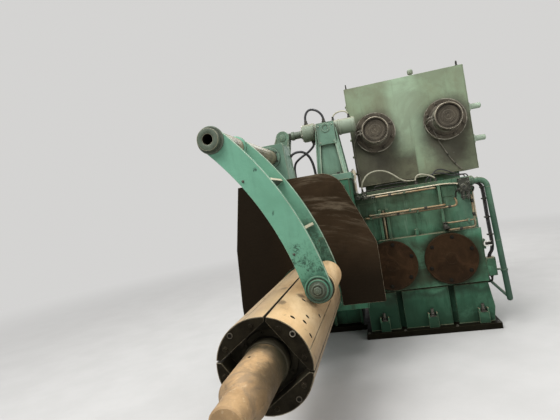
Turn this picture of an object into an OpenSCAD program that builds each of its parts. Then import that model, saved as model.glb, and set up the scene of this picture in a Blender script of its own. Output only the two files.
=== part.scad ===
// Tension reel of a strip rolling mill: gear case, expanding mandrel, guard plate
// and a swinging press roll arm. Millimetres. X runs across the gear case, Y goes
// from the mandrel nose towards the gear case, Z is up. The origin is on the floor,
// midway between the two bearing covers and under the middle of the gear case.

/* [Gear case] */
// Width of the gear case base
case_w = 1190; // [1000:10:1500]
// Depth of the gear case base, front to back
case_d = 980; // [800:10:1200]
// Thickness of the sole plates on the floor
sole_t = 56; // [25:1:80]
// Step of the sole plate beyond the base
sole_lip = 52; // [20:2:100]
// Height of the base frame above the floor
base_top = 440; // [400:5:480]
// Height of the top of the gear case above the floor
case_top = 1500; // [1350:10:1800]
// Thickness of the flange round the top of the gear case
top_flange_t = 45; // [30:1:60]
// How far the bearing pad stands out of the gear case wall
pad_t = 60; // [40:1:90]
// Height of the bearing pad on the front of the gear case
pad_h = 526; // [514:2:600]
// How far the base frame is set back under the bearing pad
base_back = 35; // [10:5:60]
// Width of the open slots between the base panels
slot_open = 62; // [40:1:90]
// Thickness of the upright ribs
rib_t = 24; // [16:1:40]
// Spacing of the anchor bolts along the base
anchor_pitch = 476; // [400:2:520]
// Sideways step of the anchor bolts from the middle of the gear case
anchor_step = 30; // [0:2:40]
// Radius of the anchor bolt holes
anchor_r = 17; // [12:1:22]
// Radius of the bearing covers
cover_r = 252; // [200:1:255]
// Thickness of the bearing covers
cover_t = 35; // [20:1:50]
// Distance between the two bearing covers, centre to centre
cover_pitch = 570; // [560:5:640]

/* [Upper housing] */
// Width of the upper housing
upper_w = 1205; // [1000:5:1400]
// Height of the upper housing
upper_h = 1065; // [900:5:1300]
// Depth of the upper housing
upper_d = 760; // [600:10:760]
// Sideways step of the upper housing from the middle of the gear case
upper_step = 110; // [0:5:160]
// Height of the neck between gear case and upper housing
neck_h = 65; // [40:5:120]
// Radius of the two drums on the front
drum_r = 130; // [100:1:160]
// Length of the drums, flange included
drum_len = 280; // [200:5:400]
// Radius of the drum flanges
drum_flange_r = 208; // [180:1:225]
// Thickness of the drum flanges
drum_flange_t = 60; // [30:1:80]
// Distance between the drums, centre to centre
drum_pitch = 704; // [520:2:760]
// Height of the drum centres above the foot of the upper housing
drum_rise = 543; // [400:1:700]

/* [Mandrel] */
// Height of all shaft centres above the floor
shaft_z = 725; // [700:5:760]
// Distance from the side of the gear case to the mandrel centre
mandrel_out = 402; // [380:2:560]
// Radius of the mandrel
mandrel_r = 254; // [240:1:305]
// Length of the mandrel in front of the guard plate
mandrel_len = 1500; // [1300:10:2100]
// Width of the slots between the four segments
slot_w = 12; // [6:1:30]
// Turn of the first segment from the horizontal, in degrees
mandrel_phase = 35; // [0:5:85]
// Half width of the square core inside the segments
core_half = 165; // [140:1:175]
// Radius of the shaft behind the mandrel
back_shaft_r = 160; // [130:1:180]
// Radius of the thick part of the nose shaft
nose_r = 110; // [90:1:125]
// Length of the thick part of the nose shaft in front of the mandrel
nose_len = 350; // [300:10:500]
// Radius of the journal at the end of the nose shaft
journal_r = 75; // [50:1:85]
// Length of the journal at the end of the nose shaft
journal_len = 155; // [100:5:220]
// How far the core is set back from the segment ends
core_recess = 120; // [40:5:200]
// Running clearance between turning and fixed pieces
running_gap = 0.3; // [0.2:0.1:1]

/* [Mandrel housing] */
// Width of the mandrel housing
housing_w = 900; // [800:10:1000]
// Height of the top of the mandrel housing above the floor
housing_top = 1655; // [1600:5:1750]
// How far the mandrel housing stands out in front of the gear case
housing_out = 470; // [400:5:480]
// Thickness of the base plate under the arm drive
drive_plate_t = 60; // [40:5:80]
// How far the foot is set back under the housing
foot_back = 820; // [600:10:900]
// Radius of the bearing sleeve round the back shaft
sleeve_r = 235; // [220:1:250]

/* [Guard plate] */
// Distance from the gear case front to the guard plate front
plate_out = 960; // [900:10:1000]
// Thickness of the guard plate
plate_t = 25; // [15:1:40]
// Height of the top edge of the guard plate above the mandrel centre
plate_rise = 992; // [900:2:1050]
// Depth of the bottom edge of the guard plate below the mandrel centre
plate_drop = 115; // [110:1:150]
// Reach of the guard plate to the right of the mandrel centre
plate_right = 615; // [560:5:700]
// Reach of the guard plate to the left of the mandrel centre
plate_left = 603; // [560:1:650]
// Gap between the mandrel and the notch in the guard plate
notch_gap = 12; // [8:1:30]
// Radius of the stand-off tubes
standoff_r = 45; // [30:1:60]

/* [Press roll arm] */
// Height of the swing shaft above the mandrel centre
pivot_rise = 1253; // [1240:1:1400]
// Distance of the swing shaft to the left of the mandrel centre
pivot_left = 266; // [200:2:300]
// Radius of the swing shaft
swing_r = 70; // [50:1:80]
// Radius of the hole in the nose of the swing shaft
swing_bore_r = 34; // [25:1:45]
// Distance from the guard plate to the middle of the arm
arm_station = 762; // [680:2:800]
// Clear width between the two arm plates
arm_gap = 455; // [400:5:560]
// Thickness of the arm plates
arm_t = 30; // [20:1:45]
// Width of the arm plates
arm_w = 163; // [140:1:200]
// Bow of the arm between its two ends
arm_bow = 81; // [40:1:110]
// Radius of the press roll
roll_r = 98; // [80:1:120]
// Radius of the fixed axle of the press roll
axle_r = 40; // [25:1:50]
// Gap between the press roll and the mandrel with the arm down
roll_gap = 5; // [5:1:20]
// Angle from the mandrel centre up to the press roll
roll_angle = 45; // [35:1:60]
// Full lift of the arm, in degrees
arm_lift = 35; // [20:1:40]

/* [Arm cylinder] */
// Length of the crank lever
crank_len = 243; // [230:1:260]
// Radius of the crank pin
crank_pin_r = 28; // [20:1:32]
// Clearance round the crank pin
crank_pin_gap = 9; // [8:0.5:12]
// Radius of the cylinder tube
cylinder_r = 78; // [60:1:95]
// Length of the cylinder tube
cylinder_len = 416; // [350:2:430]
// Radius of the cylinder head
head_r = 91; // [80:1:110]
// Length of the cylinder head
head_len = 122; // [80:2:160]
// Radius of the piston rod
rod_r = 38; // [25:1:45]
// Thickness of the stand and pedestal plates
stand_t = 40; // [25:1:50]
// Depth of the shaft pedestal, front to back
pedestal_d = 360; // [300:5:420]

/* [Hidden] */
$fn = 72;
light_green = [0.33, 0.60, 0.49];
deep_green = [0.13, 0.42, 0.32];
grey_green = [0.42, 0.56, 0.46];
rust = [0.20, 0.12, 0.08];
dusty_steel = [0.80, 0.66, 0.47];
dark_steel = [0.20, 0.18, 0.16];
copper = [0.62, 0.45, 0.28];
black = [0.06, 0.06, 0.06];
cream = [0.85, 0.78, 0.62];

case_front = -case_d / 2;
case_back = case_d / 2;
wall_front = case_front + pad_t;
case_left = -case_w / 2 + 40;
manifold_left = case_w * 0.379;
manifold_right = manifold_left + 95;
case_right = case_w / 2;
pad_left = -case_w * 0.32;
pad_low = shaft_z - pad_h / 2;
base_front = case_front + base_back;
slot_d = 60;
groove_x = -case_w * 0.244;
slot_xs = [-case_w * 0.25, case_w * 0.179];
anchor_xs = [anchor_step - anchor_pitch, anchor_step, anchor_step + anchor_pitch];
anchor_y = base_front - 26;

upper_low = case_top + neck_h;
upper_front = case_back - upper_d;
upper_left = upper_step - upper_w / 2;
drum_z = upper_low + drum_rise;

mandrel_x = -case_w / 2 - mandrel_out;
plate_front = case_front - plate_out;
plate_back = plate_front + plate_t;
mandrel_front = plate_front - mandrel_len;
segment_back = plate_back + 8;
back_flange_t = 30;
sleeve_front = segment_back + back_flange_t + 10;
core_front = mandrel_front + core_recess;
bearing_land = 90;

housing_left = mandrel_x - housing_w / 2;
housing_right = case_left;
housing_front = case_front - housing_out;
drive_top = housing_top + drive_plate_t;
foot_front = housing_front + foot_back;

pivot_x = mandrel_x - pivot_left;
pivot_z = shaft_z + pivot_rise;
roll_out = mandrel_r + roll_r + roll_gap;
roll_x = mandrel_x + roll_out * cos(roll_angle);
roll_z = shaft_z + roll_out * sin(roll_angle);
arm_mid_y = plate_front - arm_station;
front_plate_y = arm_mid_y - arm_gap / 2 - arm_t;
back_plate_y = arm_mid_y + arm_gap / 2;
swing_nose = 50;
fit_gap = 0.2;

arm_chord = norm([roll_x - pivot_x, roll_z - pivot_z]);
arm_u = [roll_x - pivot_x, roll_z - pivot_z] / arm_chord;
arm_n = [-arm_u[1], arm_u[0]];
arm_radius = (arm_chord * arm_chord / 4 + arm_bow * arm_bow) / (2 * arm_bow);
arm_centre = [(pivot_x + roll_x) / 2, (pivot_z + roll_z) / 2] - arm_n * (arm_radius - arm_bow);
arm_half_angle = asin(arm_chord / 2 / arm_radius);
arm_normal_angle = atan2(arm_n[1], arm_n[0]);

pedestal_foot = swing_r + 85;
pedestal_head = swing_r + 68;
pedestal_top = pivot_z + swing_r + 52;

crank_half = arm_lift / 2;
crank_x = pivot_x + crank_len * sin(crank_half);
crank_z = pivot_z + crank_len * cos(crank_half);
cylinder_z = pivot_z + crank_len * (1 + cos(crank_half)) / 2;
eye_half = 25;
fork_t = 30;
fork_gap = 10;
pedestal_front_y = housing_front + 15;
pedestal_back_y = pedestal_front_y + pedestal_d - stand_t;
cylinder_y = pedestal_front_y + pedestal_d + 115;
stack_y = cylinder_y - eye_half - fork_gap - fork_t;
stand_front_y = cylinder_y - cylinder_r - 6 - stand_t;
stand_back_y = cylinder_y + cylinder_r + 6;
swing_back = cylinder_y + 75;
head_x = crank_x + 221;
tube_x = head_x + head_len;
stand_x = tube_x + 121;
beside_flange = cylinder_y + cylinder_r + 8 > upper_front - drum_flange_t;
drum_reach = beside_flange ? drum_flange_r : drum_r;
tube_len = min(cylinder_len, upper_step - drum_pitch / 2 - drum_reach - 8 - tube_x);

// Flat outline drawn in X and Z, given a thickness along Y from y to y + t
module slab(y, t) {
    translate([0, y + t, 0]) rotate([90, 0, 0]) linear_extrude(t) children();
}

// Round bar along Y
module bar_y(x, y, z, len, r) {
    translate([x, y, z]) rotate([-90, 0, 0]) cylinder(h = len, r = r);
}

// Round bar along X
module bar_x(x, y, z, len, r) {
    translate([x, y, z]) rotate([0, 90, 0]) cylinder(h = len, r = r);
}

// Box given by its low corner and its high corner
module block(low, high) {
    translate(low) cube(high - low);
}

// Round bar between two points
module strut(a, b, r) {
    d = b - a;
    translate(a) rotate([0, acos(d[2] / norm(d)), atan2(d[1], d[0])]) cylinder(h = norm(d), r = r);
}

function unit(v) = v / norm(v);
function turn_at(p, i) = acos(unit(p[i] - p[i - 1]) * unit(p[i + 1] - p[i]));
function cut_at(p, i, bend_r) = (i == 0 || i == len(p) - 1) ? 0 : bend_r * tan(turn_at(p, i) / 2);

// Pipe along a list of points, with round bends of radius bend_r at the corners
module pipe_run(p, r, bend_r) {
    for (i = [0 : len(p) - 2]) {
        d = unit(p[i + 1] - p[i]);
        strut(p[i] + d * cut_at(p, i, bend_r), p[i + 1] - d * cut_at(p, i + 1, bend_r), r);
    }
    for (i = [1 : len(p) - 2]) {
        d = unit(p[i] - p[i - 1]);
        ahead = unit(p[i + 1] - p[i]);
        side = unit(ahead - (ahead * d) * d);
        up = cross(-side, d);
        c = p[i] - d * cut_at(p, i, bend_r) + side * bend_r;
        multmatrix([[-side[0], d[0], up[0], c[0]],
                    [-side[1], d[1], up[1], c[1]],
                    [-side[2], d[2], up[2], c[2]],
                    [0, 0, 0, 1]])
            rotate_extrude(angle = turn_at(p, i)) translate([bend_r, 0]) circle(r);
    }
}

// Holes for the anchor bolts, three in front and three behind
module anchor_holes(top) {
    for (x = anchor_xs, y = [anchor_y, -anchor_y])
        translate([x, y, -1]) cylinder(h = top + 2, r = anchor_r);
}

module gear_case_sole() {
    color(dark_steel)
        difference() {
            block([-case_w / 2 - sole_lip, case_front - sole_lip, 0],
                  [case_w / 2 + sole_lip, case_back + sole_lip, sole_t]);
            anchor_holes(sole_t);
        }
}

module housing_sole() {
    color(dark_steel)
        block([housing_left, foot_front - sole_lip, 0],
              [-case_w / 2 - sole_lip - 2, case_back + sole_lip, sole_t]);
}

// Welded base with open slots between its panels and flared right corners
module base_frame() {
    flare_d = 180;
    color(deep_green)
        difference() {
            union() {
                block([-case_w / 2, base_front, sole_t], [case_w / 2, -base_front, base_top]);
                for (y = [base_front, -base_front - flare_d])
                    slab(y, flare_d)
                        polygon([[case_w / 2 - 1, sole_t], [case_w / 2 + 8, sole_t],
                                 [case_w / 2 + 30, sole_t + 140], [case_w / 2 - 1, base_top]]);
            }
            for (x = slot_xs, y = [base_front - 1, -base_front - slot_d])
                block([x, y, sole_t - 1], [x + slot_open, y + slot_d + 1, base_top + 1]);
        }
}

module gear_case() {
    flange_z = case_top - top_flange_t;
    color(deep_green) {
        block([case_left, wall_front, base_top], [case_right, case_back - pad_t, case_top]);
        block([pad_left, case_front, pad_low], [case_right, wall_front, pad_low + pad_h]);
        block([case_left, case_back - pad_t, pad_low], [case_right, case_back, pad_low + pad_h]);
        block([case_left, wall_front - pad_t / 2, flange_z], [case_right, wall_front, case_top]);
        for (x = [groove_x - rib_t - 24, groove_x + 24])
            block([x, case_front + 10, pad_low + pad_h], [x + rib_t, wall_front, case_top - 200]);
        translate([case_w * 0.23 - rib_t / 2, 0, 0])
            block([0, case_front + 10, pad_low + pad_h], [rib_t, wall_front, flange_z]);
    }
}

module upper_neck() {
    inset = 60;
    left = max(case_left, upper_step - upper_w / 2) + inset;
    right = min(case_right, upper_step + upper_w / 2) - inset;
    color(deep_green)
        block([left, upper_front + inset, case_top], [right, case_back - 2 * inset, upper_low]);
}

module upper_housing() {
    color(grey_green)
        block([upper_step - upper_w / 2, upper_front, upper_low],
              [upper_step + upper_w / 2, case_back, upper_low + upper_h]);
}

module round_cover(x, y) {
    color(rust) bar_y(x, y, shaft_z, cover_t, cover_r);
}

module bearing_cover_left() { round_cover(-cover_pitch / 2, case_front - cover_t); }
module bearing_cover_right() { round_cover(cover_pitch / 2, case_front - cover_t); }
module rear_cover_left() { round_cover(-cover_pitch / 2, case_back); }
module rear_cover_right() { round_cover(cover_pitch / 2, case_back); }

// Round drum with a raised rim, on a bolted flange
module drum(x) {
    rim_t = 26;
    rim_w = 14;
    tip = upper_front - drum_len;
    color(dark_steel) {
        bar_y(x, upper_front - drum_flange_t, drum_z, drum_flange_t, drum_flange_r);
        difference() {
            bar_y(x, tip, drum_z, drum_len - drum_flange_t, drum_r);
            bar_y(x, tip - 1, drum_z, rim_t + 1, drum_r - rim_w);
        }
    }
}

module drum_left() { drum(upper_step - drum_pitch / 2); }
module drum_right() { drum(upper_step + drum_pitch / 2); }

// Lifting pins on the side of the upper housing
module lifting_pins() {
    pin_r = 29;
    pin_len = 136;
    root_r = 50;
    root_t = 26;
    tip_t = 10;
    side = upper_step + upper_w / 2;
    pin_y = upper_front + 110;
    color(light_green)
        for (z = [drum_z + 97, drum_z - 235]) {
            bar_x(side, pin_y, z, root_t, root_r);
            bar_x(side, pin_y, z, pin_len - tip_t, pin_r);
            translate([side + pin_len - tip_t, pin_y, z]) rotate([0, 90, 0])
                cylinder(h = tip_t, r1 = pin_r, r2 = pin_r - tip_t);
        }
}

// Eye bolts at the corners of the upper housing
module lifting_eyes() {
    ring_r = 19;
    wire_r = 6;
    collar_t = 12;
    inset = 47;
    color(dark_steel)
        for (x = [upper_left + 22, upper_left + upper_w - inset],
             y = [upper_front + inset, case_back - inset])
            translate([x, y, upper_low + upper_h]) {
                cylinder(h = collar_t, r = 17);
                translate([0, 0, collar_t + ring_r + wire_r - 2]) rotate([0, 90, 0])
                    rotate_extrude() translate([ring_r, 0]) circle(wire_r);
            }
}

// Breather on top of the upper housing
module breather_cap() {
    neck_h = 42;
    color(grey_green)
        translate([upper_step + 106, upper_front + 120, upper_low + upper_h]) {
            cylinder(h = neck_h, r = 17);
            translate([0, 0, neck_h]) cylinder(h = 34, r = 29);
            translate([0, 0, neck_h + 34]) cylinder(h = 12, r1 = 29, r2 = 20);
        }
}

module mandrel_housing() {
    color(deep_green)
        difference() {
            block([housing_left, housing_front, base_top], [housing_right, case_back - pad_t, housing_top]);
            bar_y(mandrel_x, housing_front - 1, shaft_z, case_back - housing_front,
                  back_shaft_r + running_gap);
        }
}

// Thick plate on the mandrel housing, under the arm drive
module drive_base_plate() {
    color(light_green) {
        block([housing_left, housing_front, housing_top], [housing_right + 30, case_front, drive_top]);
        block([housing_left, case_front, housing_top], [housing_right - 20, case_back - pad_t, drive_top]);
    }
}

// Foot of the mandrel housing, set back behind the coil pit
module housing_foot() {
    inset = 40;
    color(deep_green) {
        block([housing_left + inset, foot_front + pad_t, sole_t],
              [-case_w / 2 - sole_lip - 2 - inset, case_back - pad_t, base_top]);
        for (x = [housing_left + inset, mandrel_x - rib_t / 2, -case_w / 2 - sole_lip - 2 - inset - rib_t])
            block([x, foot_front, sole_t], [x + rib_t, foot_front + pad_t, base_top]);
    }
}

module mandrel_rear_cover() {
    color(rust) bar_y(mandrel_x, case_back - pad_t, shaft_z, cover_t, cover_r);
}

// Fixed sleeve that carries the back shaft in front of the housing
module mandrel_sleeve() {
    flange_t = 50;
    color(deep_green)
        difference() {
            union() {
                bar_y(mandrel_x, sleeve_front, shaft_z, housing_front - sleeve_front, sleeve_r);
                bar_y(mandrel_x, housing_front - flange_t, shaft_z, flange_t, sleeve_r + 60);
            }
            bar_y(mandrel_x, sleeve_front - 1, shaft_z, bearing_land + 2, back_shaft_r + running_gap);
            bar_y(mandrel_x, sleeve_front + bearing_land, shaft_z,
                  housing_front - sleeve_front, back_shaft_r + 12);
        }
}

// Outline of the guard plate, with one large round corner and an open notch below
module guard_outline() {
    top = shaft_z + plate_rise;
    low = shaft_z - plate_drop;
    corner = 200;
    lean = atan(167 / (plate_rise + plate_drop - 690));
    peak = plate_right - 167 - 203 * tan(lean);
    reach = corner * tan(45 - lean / 2);
    notch_r = mandrel_r + notch_gap;
    difference() {
        union() {
            translate([mandrel_x, 0])
                polygon([[-plate_left, low], [plate_right, low], [plate_right, low + 487],
                         [peak + reach * sin(lean), top - reach * cos(lean)],
                         [peak - reach, top - corner], [peak - reach, top],
                         [-plate_left + 133, top],
                         [-plate_left + 31, low + 571], [-plate_left, low + 83]]);
            translate([mandrel_x + peak - reach, top - corner]) circle(corner);
        }
        translate([mandrel_x, shaft_z]) circle(notch_r);
        translate([mandrel_x - notch_r, low - 1]) square([2 * notch_r, plate_drop + 1]);
    }
}

module guard_plate() {
    color(rust) slab(plate_front, plate_t) guard_outline();
}

module guard_plate_standoffs() {
    side = min(housing_w / 2, plate_right) - 100;
    tie_len = housing_front - plate_back;
    color(deep_green)
        for (x = [-side, side], z = [shaft_z + 280, shaft_z + 820])
            bar_y(mandrel_x + x, plate_back, z, tie_len, standoff_r);
}

// Square core that carries the segments, with the back shaft and the nose shaft
module mandrel_core() {
    half = core_half - running_gap;
    cone_len = 55;
    chamfer = 8;
    cone_front = mandrel_front - nose_len - cone_len;
    journal_front = cone_front - journal_len;
    color(dusty_steel) {
        intersection() {
            translate([mandrel_x, core_front, shaft_z]) rotate([0, -mandrel_phase, 0])
                block([-half, 0, -half], [half, segment_back + 1 - core_front, half]);
            bar_y(mandrel_x, core_front, shaft_z, segment_back + 1 - core_front, mandrel_r - 40);
        }
        bar_y(mandrel_x, segment_back, shaft_z, back_flange_t, sleeve_r);
        bar_y(mandrel_x, segment_back, shaft_z, case_back - pad_t - 15 - segment_back, back_shaft_r);
        bar_y(mandrel_x, mandrel_front - nose_len, shaft_z, nose_len + core_recess + 1, nose_r);
        bar_y(mandrel_x, mandrel_front + 30, shaft_z, core_recess - 29, nose_r + 8);
        bar_y(mandrel_x, journal_front + chamfer, shaft_z, journal_len - chamfer, journal_r);
        translate([mandrel_x, cone_front, shaft_z]) rotate([-90, 0, 0])
            cylinder(h = cone_len, r1 = journal_r, r2 = nose_r);
        translate([mandrel_x, journal_front, shaft_z]) rotate([-90, 0, 0])
            cylinder(h = chamfer, r1 = journal_r - chamfer, r2 = journal_r);
    }
}

// One of the four mandrel segments: round outside, flat inside, slots between them
module mandrel_segment(turn) {
    len = segment_back - mandrel_front;
    hole_r = 15;
    hole_d = 25;
    groove = 5;
    reach = mandrel_r * 1.5;
    side = slot_w * 0.7;
    color(dusty_steel)
        translate([mandrel_x, mandrel_front, shaft_z]) rotate([0, -(mandrel_phase + turn), 0])
            difference() {
                slab(0, len)
                    intersection() {
                        circle(mandrel_r, $fn = 144);
                        polygon([[core_half, -core_half + side], [reach, -reach + side],
                                 [reach, reach - side], [core_half, core_half - side]]);
                    }
                for (y = [124, 480], a = [-13, 17])
                    translate([0, y, 0]) rotate([0, -a, 0])
                        bar_x(mandrel_r - hole_d, 0, 0, hole_d + 5, hole_r);
                for (y = [183, 281])
                    translate([0, y, 0]) rotate([0, -2, 0])
                        bar_x(mandrel_r - hole_d, 0, 0, hole_d + 5, hole_r);
                rotate([0, 20, 0])
                    block([mandrel_r - groove, -1, -3], [mandrel_r + 5, len + 1, 3]);
            }
}

module mandrel_segment_1() { mandrel_segment(0); }
module mandrel_segment_2() { mandrel_segment(90); }
module mandrel_segment_3() { mandrel_segment(180); }
module mandrel_segment_4() { mandrel_segment(270); }

// Long shaft that carries the arm, hollow at its nose
module swing_shaft() {
    nose = front_plate_y - swing_nose;
    color(dusty_steel)
        difference() {
            bar_y(pivot_x, nose, pivot_z, swing_back - nose, swing_r);
            bar_y(pivot_x, nose - 1, pivot_z, 181, swing_bore_r);
        }
}

// Bowed outline of an arm plate
module arm_outline() {
    reach = arm_radius * 1.3;
    p = [pivot_x, pivot_z];
    q = [roll_x, roll_z];
    intersection() {
        difference() {
            translate(arm_centre) circle(arm_radius + arm_w / 2, $fn = 360);
            translate(arm_centre) circle(arm_radius - arm_w / 2, $fn = 360);
        }
        polygon([arm_centre, arm_centre + unit(p - arm_centre) * reach,
                 arm_centre + arm_n * reach * 1.1, arm_centre + unit(q - arm_centre) * reach]);
    }
    translate(p) circle(arm_w / 2);
    translate(q) circle(arm_w / 2 + 3);
}

module arm_plate(y) {
    color(light_green)
        difference() {
            slab(y, arm_t) arm_outline();
            bar_y(pivot_x, y - 1, pivot_z, arm_t + 2, swing_r + fit_gap);
            bar_y(roll_x, y - 1, roll_z, arm_t + 2, axle_r + fit_gap);
        }
}

module arm_plate_front() { arm_plate(front_plate_y); }
module arm_plate_back() { arm_plate(back_plate_y); }

// Cross plates that tie the two arm plates together
module arm_cross_plates() {
    cross_w = arm_w - 36;
    cross_t = 18;
    color(light_green)
        for (share = [-0.14, 0.183])
            translate([arm_centre[0], front_plate_y + arm_t, arm_centre[1]])
                rotate([0, -(arm_normal_angle - share * 2 * arm_half_angle), 0])
                    translate([arm_radius - cross_w / 2, 0, -cross_t / 2])
                        cube([cross_w, arm_gap, cross_t]);
}

// Forked lever on the swing shaft, with its pin
module crank_lever() {
    hub_r = swing_r + 26;
    tip_r = crank_pin_r + 42;
    color(light_green) {
        difference() {
            for (y = [stack_y, cylinder_y + eye_half + fork_gap])
                slab(y, fork_t)
                    hull() {
                        translate([pivot_x, pivot_z]) circle(hub_r, $fn = 32);
                        translate([crank_x, crank_z]) circle(tip_r, $fn = 32);
                    }
            bar_y(pivot_x, stack_y - 1, pivot_z, 2 * (cylinder_y - stack_y) + 2, swing_r + fit_gap);
        }
        bar_y(crank_x, stack_y, crank_z, 2 * (cylinder_y - stack_y), crank_pin_r);
    }
}

// Fixed axle of the press roll, with a stepped cap on each end
module roll_axle() {
    cap = 14;
    front = front_plate_y - cap;
    back = back_plate_y + arm_t;
    color(grey_green) {
        bar_y(roll_x, front, roll_z, back + cap - front, axle_r);
        for (y = [front, back]) bar_y(roll_x, y, roll_z, cap, axle_r + 13);
        bar_y(roll_x, front - cap, roll_z, cap, axle_r - 2);
        bar_y(roll_x, front - 2 * cap - 4, roll_z, cap + 4, axle_r - 20);
    }
}

module press_roll() {
    side_gap = 10;
    color(dusty_steel)
        difference() {
            bar_y(roll_x, front_plate_y + arm_t + side_gap, roll_z, arm_gap - 2 * side_gap, roll_r);
            bar_y(roll_x, front_plate_y, roll_z, arm_gap + 2 * arm_t, axle_r + running_gap);
        }
}

// Pedestal plate that carries the swing shaft
module shaft_pedestal(y) {
    color(deep_green)
        difference() {
            slab(y, stand_t)
                polygon([[pivot_x - pedestal_foot, drive_top], [pivot_x + pedestal_foot, drive_top],
                         [pivot_x + pedestal_head, pedestal_top], [pivot_x - pedestal_head, pedestal_top]]);
            bar_y(pivot_x, y - 1, pivot_z, stand_t + 2, swing_r + running_gap);
        }
}

module shaft_pedestal_front() { shaft_pedestal(pedestal_front_y); }
module shaft_pedestal_back() { shaft_pedestal(pedestal_back_y); }

// Sloping side plates between the two pedestal plates
module pedestal_side_plates() {
    side_t = 12;
    top = pedestal_top - 20;
    share = (top - drive_top) / (pedestal_top - drive_top);
    head = pedestal_foot + (pedestal_head - pedestal_foot) * share;
    color(deep_green)
        for (side = [-1, 1])
            slab(pedestal_front_y + stand_t, pedestal_d - 2 * stand_t)
                polygon([[pivot_x + side * pedestal_foot, drive_top], [pivot_x + side * head, top],
                         [pivot_x + side * (head - side_t), top],
                         [pivot_x + side * (pedestal_foot - side_t), drive_top]]);
}

// Tapered stand that carries one trunnion of the cylinder
module cylinder_stand(y) {
    foot_half = 149;
    head_half = 89;
    crown = cylinder_z + 60;
    block_low = cylinder_z - 169;
    flange_w = 34;
    trunnion_r = 30;
    taper = (foot_half - head_half) / (crown - drive_top);
    leg = foot_half - taper * (block_low - drive_top) - flange_w;
    color(light_green)
        difference() {
            slab(y, stand_t)
                translate([stand_x, 0])
                    polygon([[-foot_half, drive_top], [foot_half, drive_top],
                             [head_half, crown], [-head_half, crown]]);
            slab(y - 1, stand_t * 0.6)
                translate([stand_x, 0])
                    polygon([[-foot_half + flange_w, drive_top + 20], [foot_half - flange_w, drive_top + 20],
                             [leg, block_low], [-leg, block_low]]);
            bar_y(stand_x, y - 1, cylinder_z, stand_t + 2, trunnion_r + fit_gap);
        }
}

module cylinder_stand_front() { cylinder_stand(stand_front_y); }
module cylinder_stand_back() { cylinder_stand(stand_back_y); }

// Hydraulic cylinder with its two trunnions
module arm_cylinder() {
    trunnion_r = 30;
    stop_gap = 3;
    front = stand_front_y + 4;
    inside = stand_front_y + stand_t + stop_gap;
    color(light_green)
        difference() {
            union() {
                bar_x(tube_x - head_len / 2, cylinder_y, cylinder_z, tube_len + head_len / 2, cylinder_r);
                bar_x(head_x, cylinder_y, cylinder_z, head_len, head_r);
                bar_y(stand_x, front, cylinder_z, 2 * (cylinder_y - front), trunnion_r);
                bar_y(stand_x, inside, cylinder_z, 2 * (cylinder_y - inside), trunnion_r + 22);
            }
            bar_x(head_x - 1, cylinder_y, cylinder_z, head_len + tube_len - 60, rod_r + running_gap);
        }
}

// Piston rod with the eye that the crank pin sits in
module piston_rod() {
    eye_r = crank_pin_r + crank_pin_gap + 22;
    reach = head_x + 230 - crank_x;
    color(dusty_steel)
        difference() {
            union() {
                bar_x(crank_x, cylinder_y, cylinder_z, reach, rod_r);
                bar_y(crank_x, cylinder_y - eye_half, cylinder_z, 2 * eye_half, eye_r);
            }
            bar_y(crank_x, cylinder_y - rod_r - 1, cylinder_z, 2 * rod_r + 2, crank_pin_r + crank_pin_gap);
            for (y = [cylinder_y - rod_r - 2, cylinder_y + eye_half])
                block([crank_x - eye_r, y, cylinder_z - eye_r],
                      [crank_x + eye_r + 36, y + rod_r - eye_half + 2, cylinder_z + eye_r]);
        }
}

// Hoses at the cylinder ports, one of them down to the base plate
module cylinder_hoses() {
    hose_r = 12;
    thin_hose_r = 8;
    head_port = head_x + 40;
    loop_top = cylinder_z + head_r + 148;
    low_port = head_x + 90;
    low_z = cylinder_z - head_r - 60;
    tail_end = tube_x + tube_len - 50;
    tail_port = min(tail_end - 110, stand_x + 82);
    tail_top = cylinder_z + cylinder_r + 78;
    head_rise = cylinder_z + head_r + fit_gap;
    tube_rise = cylinder_z + cylinder_r + fit_gap;
    drop = [pivot_x + 137, cylinder_y, drive_top + 210];
    color(black) {
        pipe_run([[head_port, cylinder_y, head_rise], [head_port, cylinder_y, loop_top],
                  [stand_x - 16, cylinder_y, loop_top], [stand_x - 16, cylinder_y, tube_rise]],
                 hose_r, 70);
        pipe_run([[tail_port, cylinder_y, tube_rise], [tail_port, cylinder_y, tail_top],
                  [tail_end, cylinder_y, tail_top], [tail_end, cylinder_y, tube_rise]],
                 thin_hose_r, 45);
        strut([low_port, cylinder_y, cylinder_z - head_r - fit_gap], [low_port, cylinder_y, low_z], hose_r);
        strut([low_port, cylinder_y, low_z], drop, hose_r);
        strut(drop, [drop[0], cylinder_y, drive_top], hose_r);
        for (p = [[low_port, cylinder_y, low_z], drop]) translate(p) sphere(hose_r + 3, $fn = 32);
    }
}

// Large oil pipe from the valve manifold down the side, leaning out a little, with a
// thin return pipe from its foot to the case
module oil_pipe() {
    pipe_r = 27;
    thin_r = 13;
    lean = 47;
    out_x = case_right + 102;
    y = case_front - 60;
    top_z = case_top - 48;
    low = [out_x + lean, y, sole_t + 234];
    lean_angle = atan(lean / (top_z - low[2]));
    drop = norm([lean, top_z - low[2]]);
    port = [case_right, case_front + 92, base_top + 22];
    color(deep_green) {
        translate([out_x, y, top_z]) rotate([0, -lean_angle, 0]) {
            pipe_run([[manifold_right + 6 - out_x, 0, 0], [0, 0, 0], [0, 0, -drop]], pipe_r, 75);
            translate([0, 0, -drop]) sphere(pipe_r);
        }
        bar_x(manifold_right, y, top_z, 16, pipe_r + 16);
        strut(low, port + [14, 0, 0], thin_r);
        bar_x(port[0], port[1], port[2], 27, thin_r + 13);
    }
}

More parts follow.
